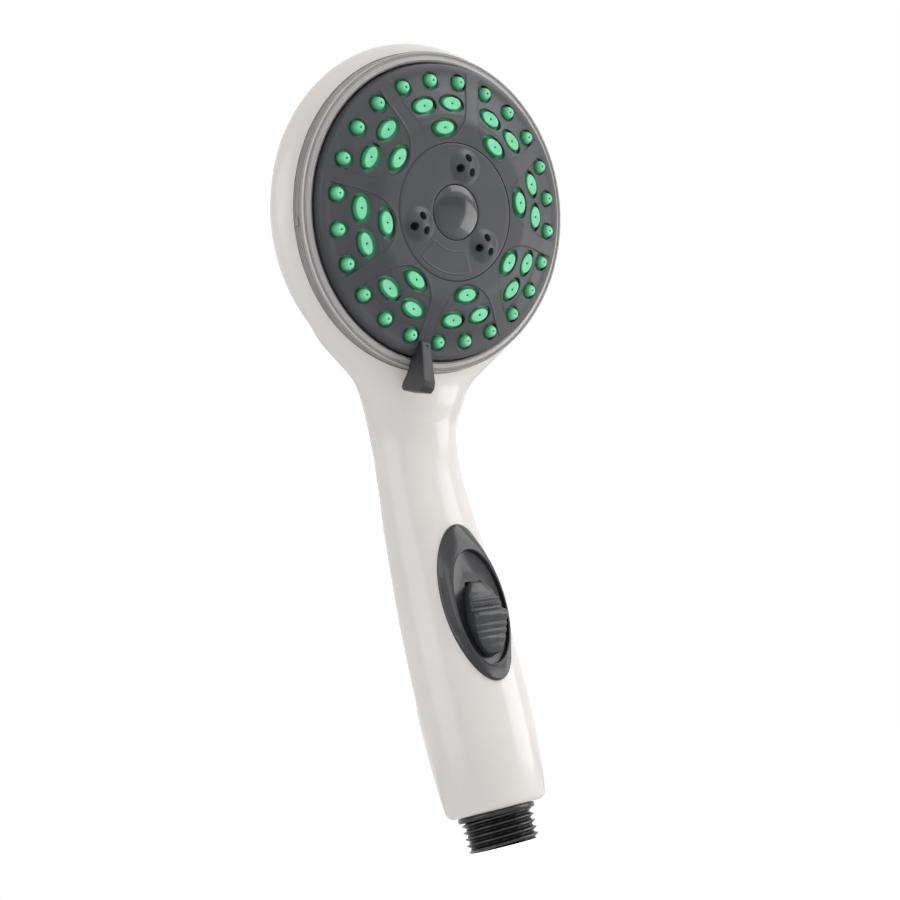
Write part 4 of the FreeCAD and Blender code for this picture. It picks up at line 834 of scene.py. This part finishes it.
def threadRadius(turn, h):
    # the thread's radius all the way round at one height
    pitch, root, crest = inlet["pitch"], inlet["root"], inlet["crest"]
    phase = ((h - turn / (2 * math.pi) * pitch) / pitch + inlet["phase"]) % 1.0
    rise = np.clip((0.5 - abs(phase - 0.5)) / 0.5, 0, 1)        # 1 on the crest's middle, 0 at the root
    rise = np.clip(rise / (1 - inlet["crestShare"]), 0.06, 1)
    rise = eased(rise) * inlet["crestRound"] + rise * (1 - inlet["crestRound"])
    fade = np.clip((inlet["threadTop"] - h + (turn / (2 * math.pi) - 0.5) * pitch) / 0.5, 0, 1)
    return np.minimum(root + (crest - root) * rise * fade, crest - inlet["chamfer"] + h * inlet["chamferRise"])


def makeInlet():
    turn = fullTurn(inlet["segments"])
    rings = [atHeight(arc(r, turn), h) for r, h in inlet["mouth"] + [(inlet["crest"] - inlet["chamfer"], 0)]]
    rings += [atHeight(arc(threadRadius(turn, h), turn), h)
              for h in np.arange(0.06, inlet["collar"][0][1] - 0.05, inlet["threadStep"])]
    rings += [atHeight(arc(r, turn), h) for r, h in inlet["collar"]]
    fitting = cleanUp(addMesh("threadedInlet", *ringStack(rings)), 38)
    spigot = inlet["spigot"]
    for radius, low, top, operation in ((spigot["radius"], spigot["low"], spigot["top"], "UNION"),
                                        (spigot["bore"], spigot["boreLow"], spigot["top"] + 1.0, "DIFFERENCE")):
        rod = turnedPiece("rod", [(0, low), (radius, low), (radius, top), (0, top)], 48, place=asIs,
                          closedLoop=False, centre=(0.0, spigot["back"]))
        combine(fitting, rod, operation)
    return shade(fitting, 38)


settle(makeInlet(), "handle", "inlet_fitting", "thread")


# What repeats round the spray axis is drawn once and repeated by one node tree.
def repeatTree():
    # copies of one sector, turned round an axis and made one mesh
    tree = bpy.data.node_groups.new("repeatAround", "GeometryNodeTree")
    for name, kind in (("Geometry", "Geometry"), ("Count", "Int"), ("Start", "Float"), ("Centre", "Vector"),
                       ("Tip", "Vector"), ("Merge", "Float"), ("Material", "Material")):
        tree.interface.new_socket(name, in_out="INPUT", socket_type=f"NodeSocket{kind}")
    tree.interface.new_socket("Geometry", in_out="OUTPUT", socket_type="NodeSocketGeometry")
    given = added(tree, "NodeGroupInput").outputs
    out = added(tree, "NodeGroupOutput")
    line = added(tree, "GeometryNodeMeshLine")
    line.inputs["Offset"].default_value = (0, 0, 0)
    index = added(tree, "GeometryNodeInputIndex")
    share = added(tree, "ShaderNodeMath", operation="DIVIDE")
    angle = added(tree, "ShaderNodeMath", operation="MULTIPLY_ADD")
    angle.inputs[1].default_value = 2 * math.pi
    spin = added(tree, "ShaderNodeCombineXYZ")
    copies = added(tree, "GeometryNodeInstanceOnPoints")
    stand = added(tree, "GeometryNodeTransform")
    real = added(tree, "GeometryNodeRealizeInstances")
    weld = added(tree, "GeometryNodeMergeByDistance")
    paint = added(tree, "GeometryNodeSetMaterial")
    for source, target in (
            (given["Count"], line.inputs["Count"]),
            (index.outputs[0], share.inputs[0]), (given["Count"], share.inputs[1]),
            (share.outputs[0], angle.inputs[0]), (given["Start"], angle.inputs[2]),
            (angle.outputs[0], spin.inputs["Z"]),
            (line.outputs[0], copies.inputs["Points"]), (given["Geometry"], copies.inputs["Instance"]),
            (spin.outputs[0], copies.inputs["Rotation"]),
            (copies.outputs[0], stand.inputs["Geometry"]), (given["Centre"], stand.inputs["Translation"]),
            (given["Tip"], stand.inputs["Rotation"]),
            (stand.outputs[0], real.inputs[0]),
            (real.outputs[0], weld.inputs["Geometry"]), (given["Merge"], weld.inputs["Distance"]),
            (weld.outputs[0], paint.inputs["Geometry"]), (given["Material"], paint.inputs["Material"]),
            (paint.outputs[0], out.inputs["Geometry"])):
        tree.links.new(source, target)
    return tree


repeatAround = repeatTree()


def repeated(name, points, faces, count, start, finish, merge=0.004):
    # one sector, drawn in the head's frame, repeated round the spray axis
    piece = addMesh(name, points, faces)
    step = piece.modifiers.new("repeat", "NODES")
    step.node_group = repeatAround
    values = {"Count": count, "Start": start, "Centre": Vector(headCentre * mm),
              "Tip": Vector((math.pi / 2 + tilt, 0, 0)), "Merge": merge * mm, "Material": finishes[finish]}
    for socket in repeatAround.interface.items_tree:
        if socket.in_out == "INPUT" and socket.name in values:
            step[socket.identifier] = values[socket.name]
    return applySteps(piece)


face = {
    "inner": 20.05, "flat": 26.5, "roundedFrom": 42.4,
    # radius and height of the plate's face
    "profile": [(0, 1.85), (25.7, 1.85), (27.3, 1.58), (37.5, -1.82), (39.5, -2.24), (43.3, -2.95)],
    "skirt": [(42.8, -2.95, 0.8), (43.3, -5.5, 0.5), (43.3, -11.5)], "thick": 2.2,
    # one petal's holes: ring radius, degrees to each side, size
    "rounds": (38.0, 15.0, 2.6), "midOvals": (31.35, 9.1), "innerOval": 24.3,
    "ovalHole": (2.7, 4.4), "innerHole": (2.75, 4.7), "holeEdge": (0.22, 0.14),
    # the petal's outline, and how far it lies below its ridge
    "arch": [(20.95, 0), (21.6, 2.9), (23.4, 5.6), (26.0, 7.9), (29.5, 9.84), (34.0, 11.7), (38.0, 13.36),
             (42.6, 15.26)],
    "petalSink": 0.34, "ridge": 0.2, "ridgeHalf": 0.3, "bands": ((27.65, 27.95, 0.12), (35.1, 35.4, -0.12)),
    "fade": (39.6, 41.6),
    "spacing": 0.85, "clear": 0.25, "steps": 36,
}


def faceHeight(r):
    return np.interp(r, *zip(*face["profile"]))


def holeLoops(margin=0.0):
    # the six holes of one petal, whose middle is along X
    ring, spread, radius = face["rounds"]
    midRing, midSpread = face["midOvals"]
    holes = [(ring, turn, (radius, radius)) for turn in (-spread, 0, spread)]
    holes += [(midRing, turn, face["ovalHole"]) for turn in (-midSpread, midSpread)]
    holes.append((face["innerOval"], 0, face["innerHole"]))
    loops = []
    for away, turn, (wide, tall) in holes:
        a = math.radians(turn)
        loops.append(ovalRing(spot(away, a), a, (wide + margin, tall + margin), 0, 40)[:, :2])
    return loops


def distanceTo(points, line, closed=False):
    # distance from each point to a line of segments
    if closed:
        line = np.concatenate([line, line[:1]])
    best = np.full(len(points), 1e9)
    for a, b in zip(line[:-1], line[1:]):
        d = b - a
        t = np.clip(((points - a) @ d) / (d @ d), 0, 1)
        best = np.minimum(best, np.linalg.norm(points - a - t[:, None] * d, axis=1))
    return best


def insideLoop(points, loop):
    x, y = points[:, 0], points[:, 1]
    inside = np.zeros(len(points), bool)
    for a, b in zip(loop, np.roll(loop, -1, axis=0)):
        crosses = (a[1] > y) != (b[1] > y)
        with np.errstate(divide="ignore", invalid="ignore"):
            inside ^= crosses & (x < (b[0] - a[0]) * (y - a[1]) / (b[1] - a[1]) + a[0])
    return inside


def outsideOf(points, loops):
    fits = np.ones(len(points), bool)
    for loop in loops:
        fits &= ~insideLoop(points, loop)
    return fits


def archLine(offset=0.0):
    # the petal's outline, moved outward by offset
    knots = np.array(face["arch"], float)
    mirrored = np.concatenate([knots[::-1] * (1, -1), knots[1:]])
    along = np.concatenate([[0], np.cumsum(np.linalg.norm(np.diff(mirrored, axis=0), axis=1))])
    at = np.linspace(0, along[-1], 121)
    line = np.stack([smoothLine(mirrored[:, k], along, at) for k in (0, 1)], 1)
    if offset:
        way = np.gradient(line, axis=0)
        way /= np.linalg.norm(way, axis=1)[:, None]
        line = line + offset * np.stack([way[:, 1], -way[:, 0]], 1)
    return line


def plateHeight(points):
    r, _ = polar(points)
    arch = archLine()
    closed = np.concatenate([arch, [(60, 60), (60, -60)]])
    signed = distanceTo(points, arch) * np.where(insideLoop(points, closed), -1, 1)
    half = face["ridgeHalf"]
    within = np.clip(0.5 - signed / (2 * half), 0, 1)
    level = -face["petalSink"] + sum(rise * np.clip((r - low) / (high - low), 0, 1)
                                     for low, high, rise in face["bands"])
    fadeFrom, fadeTo = face["fade"]
    fade = eased(np.clip((fadeTo - r) / (fadeTo - fadeFrom), 0, 1))
    relief = within * level + face["ridge"] * np.clip(1 - abs(signed) / half, 0, 1)
    reach, drop = face["holeEdge"]
    near = np.min([distanceTo(points, loop, closed=True) for loop in holeLoops()], axis=0)
    return faceHeight(r) + fade * relief - drop * np.clip(1 - near / reach, 0, 1)


def triangulated(points, lines, keepFace):
    # fills between the given lines; keepFace says which triangle middles stay
    verts = [Vector(p) for p in points]
    edges = []
    for line in lines:
        first = len(verts)
        verts += [Vector(p) for p in line["points"]]
        size = len(line["points"])
        edges += [(first + i, first + (i + 1) % size) for i in range(size if line["closed"] else size - 1)]
    out, _, triangles, _, _, _ = delaunay_2d_cdt(verts, edges, [], 0, 1e-5)
    out = np.array([tuple(p) for p in out])
    triangles = np.array(triangles)
    middle = out[triangles].mean(1)
    triangles = triangles[keepFace(middle)]
    used = np.unique(triangles)
    renumber = np.full(len(out), -1)
    renumber[used] = np.arange(len(used))
    return out[used], renumber[triangles]


def sectorGrid(radii, halfTurn):
    # points spread over one petal's sector, clear of the lines that the mesh has to follow
    spacing, clear = face["spacing"], face["clear"]
    grid = []
    for k, r in enumerate(radii[1:-1]):
        count = max(3, int(2 * halfTurn * r / spacing))
        first = 0.75 if k % 2 else 0.5
        grid += [spot(r, -halfTurn + 2 * halfTurn * (j + first) / (count + 0.5)) for j in range(count)]
    grid = np.array(grid)
    r, a = polar(grid)
    keep = distanceTo(grid, archLine()) > face["ridgeHalf"] + clear
    keep &= abs(a) < halfTurn - clear / r
    for low, high, _ in face["bands"]:
        keep &= (r < low - 0.2) | (r > high + 0.2)
    loops = holeLoops(face["holeEdge"][0])
    for loop in loops:
        keep &= distanceTo(grid, loop, closed=True) > clear
    return grid[keep & outsideOf(grid, loops)]


def sectorLines(radii, halfTurn):
    # holes, the petal's ridge, the bands and the sector's border
    inner, outer = radii[0], radii[-1]
    lines = [{"points": loop, "closed": True} for loop in holeLoops() + holeLoops(face["holeEdge"][0])]
    for offset in (-face["ridgeHalf"], 0.0, face["ridgeHalf"]):
        line = archLine(offset)
        r, a = polar(line)
        line = line[(r < outer - 0.3) & (r > inner + 0.12) & (abs(a) < halfTurn - 0.006)]
        jumps = np.where(np.linalg.norm(np.diff(line, axis=0), axis=1) > 1.5)[0]
        lines += [{"points": part, "closed": False} for part in np.split(line, jumps + 1) if len(part) > 1]
    a = np.linspace(-halfTurn, halfTurn, face["steps"] + 1)
    lines += [{"points": arc(r, a[1:-1]), "closed": False} for band in face["bands"] for r in band[:2]]
    border = [arc(inner, a), [spot(r, halfTurn) for r in radii[1:-1]],
              arc(outer, a[::-1]), [spot(r, -halfTurn) for r in radii[-2:0:-1]]]
    return lines + [{"points": np.concatenate(border), "closed": True}]


def makeFaceplate():
    halfTurn, inner, outer = math.pi / petals, face["inner"], face["roundedFrom"]
    radii = np.linspace(inner, outer, int((outer - inner) / face["spacing"]) + 1)

    def keepFace(middle):
        r, a = polar(middle)
        within = (r > inner * math.cos(halfTurn / face["steps"]) - 1e-4) & (r < outer)
        return within & (abs(a) < halfTurn - 1e-4) & outsideOf(middle, holeLoops())

    triangles = triangulated(sectorGrid(radii, halfTurn), sectorLines(radii, halfTurn), keepFace)
    flat, points, faces = surfaceFrom(triangles, plateHeight)
    # the rounded edge and the skirt follow the rim's own points
    last = rimOf(flat, outer)
    _, around = polar(flat[last])
    for r, h in rounded([(outer, faceHeight(outer))] + face["skirt"], closed=False, steps=6)[1:]:
        here = len(points) + np.arange(len(last))
        points = np.concatenate([points, atHeight(arc(r, around), h)])
        faces += [(last[i], here[i], here[i + 1], last[i + 1]) for i in range(len(last) - 1)]
        last = here
    plate = repeated("sprayFace", points, faces, petals, petalAngle, "face")
    cleanUp(plate, 30, merge=0.004)
    thicken(plate, face["thick"])
    return shade(plate, 30)


settle(makeFaceplate(), "selector", "faceplate", "face")


nozzles = {
    # radius and height of a round nozzle
    "bullet": [(0.0, -1.3), (0.24, -1.3), (0.26, -0.67), (0.38, -0.56), (0.66, -0.55), (0.95, -0.6),
               (1.22, -0.76), (1.46, -1.05), (1.66, -1.45), (1.8, -1.85), (1.9, -2.6), (1.97, -3.6),
               (2.0, -5.0), (0.0, -5.0)],
    "ovalHalf": (1.85, 3.2), "ovalSpread": 0.5, "midTop": 0.3, "innerTop": 2.1, "pin": 0.3,
    # share of the oval's size, and how far below its top
    "brim": ((0.35, 0.07), (0.6, 0.05), (0.78, 0.03), (0.88, 0.04), (0.94, 0.12), (0.98, 0.28), (1.0, 0.55)),
    "mat": [(20.4, -0.4), (20.4, -1.8), (26.5, -1.8), (38.5, -5.8), (40.7, -6.1), (40.7, -4.7), (38.5, -4.4),
            (26.5, -0.4)],
}


def ovalNozzle(radius, turn, top):
    # a low oval pad with a rounded brim, a faint dish and a pinhole
    (wide, tall), pin, spread = nozzles["ovalHalf"], nozzles["pin"], nozzles["ovalSpread"]
    a = math.radians(turn)
    levels = [((pin, pin), top - 1.3), ((pin, pin), top - 0.16), ((pin + 0.12, pin + 0.12), top - 0.08)]
    levels += [((wide * share, tall * share), top - drop) for share, drop in nozzles["brim"]]
    foot = -4.6 if radius > face["flat"] else -1.2
    levels += [((wide + spread, tall + spread), height) for height in (top - 2.6, foot)]
    return ringStack([ovalRing(spot(radius, a), a, size, height, 36) for size, height in levels])


def makeNozzles():
    (ring, spread, _), (midRing, midSpread) = face["rounds"], face["midOvals"]
    parts = [turnedShape(nozzles["bullet"], 30, spot(ring, math.radians(turn)), closedLoop=False)
             for turn in (-spread, 0, spread)]
    parts += [ovalNozzle(midRing, turn, nozzles["midTop"]) for turn in (-midSpread, midSpread)]
    parts.append(ovalNozzle(face["innerOval"], 0, nozzles["innerTop"]))
    piece = cleanUp(repeated("sprayNozzles", *joined(parts), petals, petalAngle, "nozzle"), 40)
    sheet = turnedPiece("sheet", nozzles["mat"], 128)
    work = bmesh.new()
    work.from_mesh(piece.data)
    work.from_mesh(sheet.data)
    work.to_mesh(piece.data)
    work.free()
    bpy.data.objects.remove(sheet)
    return shade(piece, 40)


settle(makeNozzles(), "selector", "nozzle_mat", "nozzle")


disc = {
    "inner": 8.18, "outer": 19.87, "top": 1.85, "skirt": -6.4, "wall": 2.1,
    "domeRing": 13.7, "domeRadius": 4.56, "domeRise": 1.9, "domeFoot": 0.9, "holeRing": 2.47, "hole": 1.22,
    "panel": {"inner": 11.4, "outer": 17.9, "half": math.radians(31), "corner": 1.0,
              "line": 0.28, "rise": 0.16},
    "edge": (0.3, 0.14), "spacing": 0.45, "ringGap": 0.42, "steps": 200,
}
# the domes' places round the disc, and the holes' places round each dome
threeSpots = [leverAngle + math.pi + k * 2 * math.pi / 3 for k in range(3)]


def discHoles():
    loops = []
    for dome in threeSpots:
        for hole in threeSpots:
            at = np.add(spot(disc["domeRing"], dome), spot(disc["holeRing"], hole))
            loops.append(ovalRing(at, 0, (disc["hole"],) * 2, 0, 32)[:, :2])
    return loops


def panelDistance(points):
    # distance from the outline of the arc-shaped panel on the lever's side
    panel = disc["panel"]
    r, a = polar(points)
    a = (a - leverAngle + math.pi) % (2 * math.pi) - math.pi
    middle, half = (panel["inner"] + panel["outer"]) / 2, (panel["outer"] - panel["inner"]) / 2
    return roundMax(abs(r - middle) - half, abs(a) * r - panel["half"] * r, panel["corner"])


def discHeight(points):
    height = np.full(len(points), disc["top"])
    radius, rise, foot = disc["domeRadius"], disc["domeRise"], disc["domeFoot"]
    sphere = (radius**2 + rise**2) / (2 * rise)
    for a in threeSpots:
        d = np.linalg.norm(points - spot(disc["domeRing"], a), axis=1)
        lift = softMax(np.sqrt(np.maximum(sphere**2 - d**2, 0)) - (sphere - rise), 0, foot)
        height += np.where(d < radius + 1.6, lift, 0)
    panel = disc["panel"]
    height += panel["rise"] * np.clip(1 - abs(panelDistance(points)) / panel["line"], 0, 1)
    r, _ = polar(points)
    wide, drop = disc["edge"]
    edge = np.clip(1 - np.minimum(disc["outer"] - r, r - disc["inner"]) / wide, 0, 1)
    return height - drop * edge**2


def discGrid(radii, loops):
    panel, grid = disc["panel"], []
    for k, r in enumerate(radii[1:-1]):
        count = int(2 * math.pi * r / disc["spacing"])
        grid.append(arc(r, (np.arange(count) + 0.5 * (k % 2)) * 2 * math.pi / count))
    grid = np.concatenate(grid)
    near = abs(panelDistance(grid))
    keep = (near < 0.02) | (near > panel["line"] + 0.12)
    for loop in loops:
        keep &= distanceTo(grid, loop, closed=True) > 0.16
    return grid[keep & outsideOf(grid, loops)]


def discLines(loops):
    # holes, the two edges, and three lines along the panel's outline
    panel, turn = disc["panel"], fullTurn(disc["steps"])
    lines = loops + [arc(r, turn) for r in (disc["inner"], disc["outer"])]
    spread = np.linspace(-panel["half"], panel["half"], 40)
    for offset in (-panel["line"], 0.0, panel["line"]):
        r = np.repeat((panel["inner"] - offset, panel["outer"] + offset), len(spread))
        a = np.concatenate([spread, -spread])
        lines.append(arc(r, a + np.copysign(offset / r, a) + leverAngle))
    return [{"points": line, "closed": True} for line in lines]


def makeDisc():
    inner, outer, loops = disc["inner"], disc["outer"], discHoles()
    radii = np.concatenate([[inner, inner + 0.15, inner + 0.3],
                            np.arange(inner + 0.7, outer - 0.5, disc["ringGap"]),
                            [outer - 0.3, outer - 0.15, outer]])

    def keepFace(middle):
        r, _ = polar(middle)
        return (r > inner * math.cos(math.pi / disc["steps"]) - 1e-4) & (r < outer) & outsideOf(middle, loops)

    triangles = triangulated(discGrid(radii, loops), discLines(loops), keepFace)
    flat, points, faces = surfaceFrom(triangles, discHeight)
    rim = rimOf(flat, outer)
    low = len(points) + np.arange(len(rim))
    points = np.concatenate([points, atHeight(flat[rim], disc["skirt"])])
    faces += zip(rim, low, np.roll(low, -1), np.roll(rim, -1))
    piece = cleanUp(addMesh("jetDisc", fromHead(points), faces), 32)
    thicken(piece, disc["wall"])
    return shade(piece, 32)


settle(makeDisc(), "selector", "jet_disc", "disc")


cap = {
    "profile": [(0, 2.85), (2.0, 2.83), (4.0, 2.72), (5.8, 2.5), (7.1, 2.2), (7.7, 2.0), (7.95, 1.82),
                (8.06, 1.55), (8.1, 1.2), (8.1, -0.12), (5.5, -0.12), (5.5, 1.45), (0, 1.45)],
}
capPiece = turnedPiece("centreCap", cap["profile"], 128, closedLoop=False, sharpAngle=40)
settle(capPiece, "selector", "centre_cap", "cap")


lever = {
    # side outline: distance from the spray axis, height, and the corner's radius
    "outline": [(38.6, -2.9), (38.6, -0.95, 0.4), (44.0, 1.5, 8.0), (50.2, 4.35, 2.0), (52.2, 4.5, 1.0),
                (53.6, 3.3, 1.3), (53.6, -5.5, 0.8), (52.6, -6.5, 0.6), (51.2, -6.2, 1.0), (48.6, -5.1, 0.8),
                (47.2, -4.85, 0.4), (43.5, -4.85), (43.5, -3.7)],
    "footHalf": 1.75, "tipHalf": 2.2, "widens": (41, 51), "edge": 0.42,
    "dimpleAt": 39.7, "dimple": [(0, 0.9), (0.65, 0.9), (0.65, -0.45), (0.2, -0.7), (0, -0.7)],
}


def makeLever():
    line = rounded(lever["outline"], steps=5)
    widenFrom, widenTo = lever["widens"]
    share = eased(np.clip((line[:, 0] - widenFrom) / (widenTo - widenFrom), 0, 1))
    half = lever["footHalf"] + (lever["tipHalf"] - lever["footHalf"]) * share
    c, s = spot(1, leverAngle)
    size = len(line)
    points = np.concatenate([np.stack([line[:, 0] * c - side * half * s, line[:, 0] * s + side * half * c,
                                       line[:, 1]], 1) for side in (-1, 1)])
    faces = [(j, (j + 1) % size, size + (j + 1) % size, size + j) for j in range(size)]
    faces += [tuple(range(size))[::-1], tuple(range(size, 2 * size))]
    piece = cleanUp(addMesh("selectorLever", fromHead(points), faces))
    soften(piece, lever["edge"], 3, 50)
    combine(piece, turnedPiece("dimpleCutter", lever["dimple"], 24, closedLoop=False,
                               centre=spot(lever["dimpleAt"], leverAngle)))
    return shade(piece, 40)


settle(makeLever(), "selector", "selector_lever", "lever")


surround = {
    # half width, half height, height of the middle
    "outer": (10.5, 23.8, 68.4), "plug": (9.65, 22.15, 68.4), "recess": (8.5, 17.0, 66.5),
    "back": 13.9, "lip": 17.3, "segments": 120,
    "slot": (3.2, 56.7, 74.3, 0.6),        # half width, low end, high end, corner radius
    # drawn in from the outer edge by (width, height), and how far proud of the housing
    "brim": ((0, 0, -0.45), (0, 0, 0.45), (0.12, 0.15, 0.75), (0.45, 0.5, 1.0)),
    "rise": (0.2, 0.4, 0.6, 0.8, 0.93, 1.0), "lipEdge": (0.55, 0.75),
    # drawn out from the recess by (width, height), and how far forward
    "well": ((0.3, 0.4, 17.44), (0.1, 0.1, 17.36), (0, 0, 17.1), (-0.15, -0.15, 16.35), (-0.28, -0.28, 16.05),
             (-0.55, -0.55, 15.95)),
}


def surfaceAhead(x, z):
    # how far forward the housing's surface is, found by halving
    low, high = np.full(len(x), 0.0), np.full(len(x), 26.0)
    for _ in range(24):
        middle = (low + high) / 2
        inside = housingField(np.stack([x, -middle, z], 1)) < 0
        low, high = np.where(inside, middle, low), np.where(inside, high, middle)
    return low


def makeSurround():
    turn = fullTurn(surround["segments"])
    outerX, outerZ, outerAt = surround["outer"]
    recessX, recessZ, recessAt = surround["recess"]
    plugX, plugZ, plugAt = surround["plug"]

    def ring(halfX, halfZ, middle, forward):
        x, z = halfX * np.cos(turn), middle + halfZ * np.sin(turn)
        return np.stack([x, np.broadcast_to(-forward, turn.shape), z], 1)

    def skinBehind(halfX, halfZ, middle):
        return surfaceAhead(halfX * np.cos(turn), middle + halfZ * np.sin(turn))

    skin = skinBehind(outerX, outerZ, outerAt)
    flangeBack = np.minimum(skin, skinBehind(plugX, plugZ, plugAt)) - 0.5
    rings = [ring(plugX, plugZ, plugAt, surround["back"]), ring(plugX, plugZ, plugAt, flangeBack)]
    rings += [ring(outerX - inX, outerZ - inZ, outerAt, skin + proud) for inX, inZ, proud in surround["brim"]]
    # a broad slope up to the lip of the recess
    inX, inZ, proud = surround["brim"][-1]
    lipX, lipZ = surround["lipEdge"]
    start = np.array([outerX - inX, outerZ - inZ, outerAt])
    end = np.array([recessX + lipX, recessZ + lipZ, recessAt])
    for share in surround["rise"]:
        rise = skin + proud + (surround["lip"] - skin - proud) * (share * (2 - share))
        rings.append(ring(*(start + (end - start) * share), rise))
    rings += [ring(recessX + outX, recessZ + outZ, recessAt, forward)
              for outX, outZ, forward in surround["well"]]
    points, faces = ringStack(rings)
    parts = [(points[:-2], faces[: (len(rings) - 1) * len(turn)])]        # without its end fans
    # floor and back, each with the slot through it, and the slot's walls
    wide, low, high, corner = surround["slot"]
    slot = rounded([(-wide, low, corner), (wide, low, corner), (wide, high, corner), (-wide, high, corner)],
                   steps=4)
    for edge in (rings[-1], rings[0]):
        loop = edge[:, (0, 2)]
        flat, triangles = triangulated([], [{"points": loop, "closed": True}, {"points": slot, "closed": True}],
                                       lambda middle: insideLoop(middle, loop) & ~insideLoop(middle, slot))
        parts.append((np.insert(flat, 1, edge[0, 1], axis=1), triangles))
    size = len(slot)
    walls = np.concatenate([np.insert(slot, 1, edge[0, 1], axis=1) for edge in (rings[-1], rings[0])])
    parts.append((walls, [(i, (i + 1) % size, size + (i + 1) % size, size + i) for i in range(size)]))
    return cleanUp(addMesh("slideSurround", *joined(parts)), 38)


settle(makeSurround(), "handle", "switch_bezel", "surround")


slide = {
    "low": 51.9, "high": 74.2, "half": 5.5, "back": 16.25, "face": 19.2, "rows": 140, "endTurn": 0.04,
    # height above the low end, how far the face stands out
    "waves": [(0, -2.4), (0.5, -1.1), (1.4, -0.35), (3.2, 0.2), (4.7, 0.6), (5.4, 0.42), (6.4, 1.2),
              (7.1, 0.92), (8.2, 1.75), (8.9, 1.5), (10.1, 2.75), (11.1, 3.0), (12.0, 2.5), (12.9, 1.15),
              (13.6, 0.95), (14.4, 1.45), (15.1, 0.8), (16.0, 1.2), (16.8, 0.55), (18.5, 0.25), (20.4, -0.6),
              (21.7, -1.5), (22.3, -2.4)],
    # the same without its ribs: where the face stands out from it, the slide is wider
    "slow": [(0, -2), (2, 0), (5, 0.5), (11, 1.6), (17, 0.6), (20, -0.4), (22.3, -2)],
    "taper": 0.85, "ribFlare": 0.16, "crown": 0.35, "softEdge": 0.9,
    "neck": {"half": 2.9, "low": 57.0, "high": 67.0, "ahead": 16.85, "back": 13.4},
}


def slideOutline(half, ahead):
    # one level of the slide: flat back, rounded sides and a slightly crowned face
    back = slide["back"]
    soft = min(slide["softEdge"], 0.45 * half, 0.45 * (ahead - back))
    side = ahead - slide["crown"] * min(1.0, half / 4) - 0.05
    return rounded([(-half, back), (-half, side, soft), (-half * 0.4, ahead - 0.06, half),
                    (half * 0.4, ahead - 0.06, half), (half, side, soft), (half, back)], closed=False, steps=5)


def makeSlide():
    low, high, end = slide["low"], slide["high"], slide["endTurn"]
    heights = low + (high - low) * 0.5 * (1 - np.cos(np.linspace(end, math.pi - end, slide["rows"])))
    knots, waves = zip(*slide["waves"])
    ahead = slide["face"] + smoothLine(waves, knots, heights - low)
    slow = slide["face"] + np.interp(heights - low, *zip(*slide["slow"]))
    share = np.sqrt(np.maximum(1 - ((heights - (low + high) / 2) / ((high - low) / 2)) ** 2, 0.0))
    half = slide["half"] * share ** slide["taper"] + slide["ribFlare"] * np.clip(ahead - slow, -1, 1) * share
    rings = []
    for z, y, w in zip(heights, ahead, half):
        x, forward = slideOutline(w, y).T
        rings.append(np.stack([x, -forward, np.full(len(x), z)], 1))
    neck = slide["neck"]
    w, bottom, top = neck["half"], neck["low"], neck["high"]
    box = [[(-w, -y, bottom), (w, -y, bottom), (w, -y, top), (-w, -y, top)]
           for y in (neck["back"], neck["ahead"])]
    return cleanUp(addMesh("pauseSlide", *joined([ringStack(rings), ringStack(box)])), 50)


settle(makeSlide(), "pause_slide", "thumb_slide", "button")


# inner parts keep their CAD shape
innerFinish = {
    "innerBlack": ("chamber_plate", "diverter_disc", "pulse_turbine", "slide_carrier", "flow_restrictor",
                   "valve_spool"),
    "innerWhite": ("manifold", "valve_body"),
    "tube": ("lower_tube", "upper_tube"),
    "seal": ("hub_seal", "port_seal", "inlet_seal", "tube_seals", "spool_rings"),
    "steel": ("port_spring", "click_spring", "centre_screw", "screw_washer", "manifold_screws"),
    "filter": ("inlet_filter",),
}
for finish, names in innerFinish.items():
    for name in names:
        node = frame["nodes"][name]
        if not node.material_slots:
            node.data.materials.append(None)
        for holder in node.material_slots:
            holder.material = finishes[finish]
report("inner parts finished")
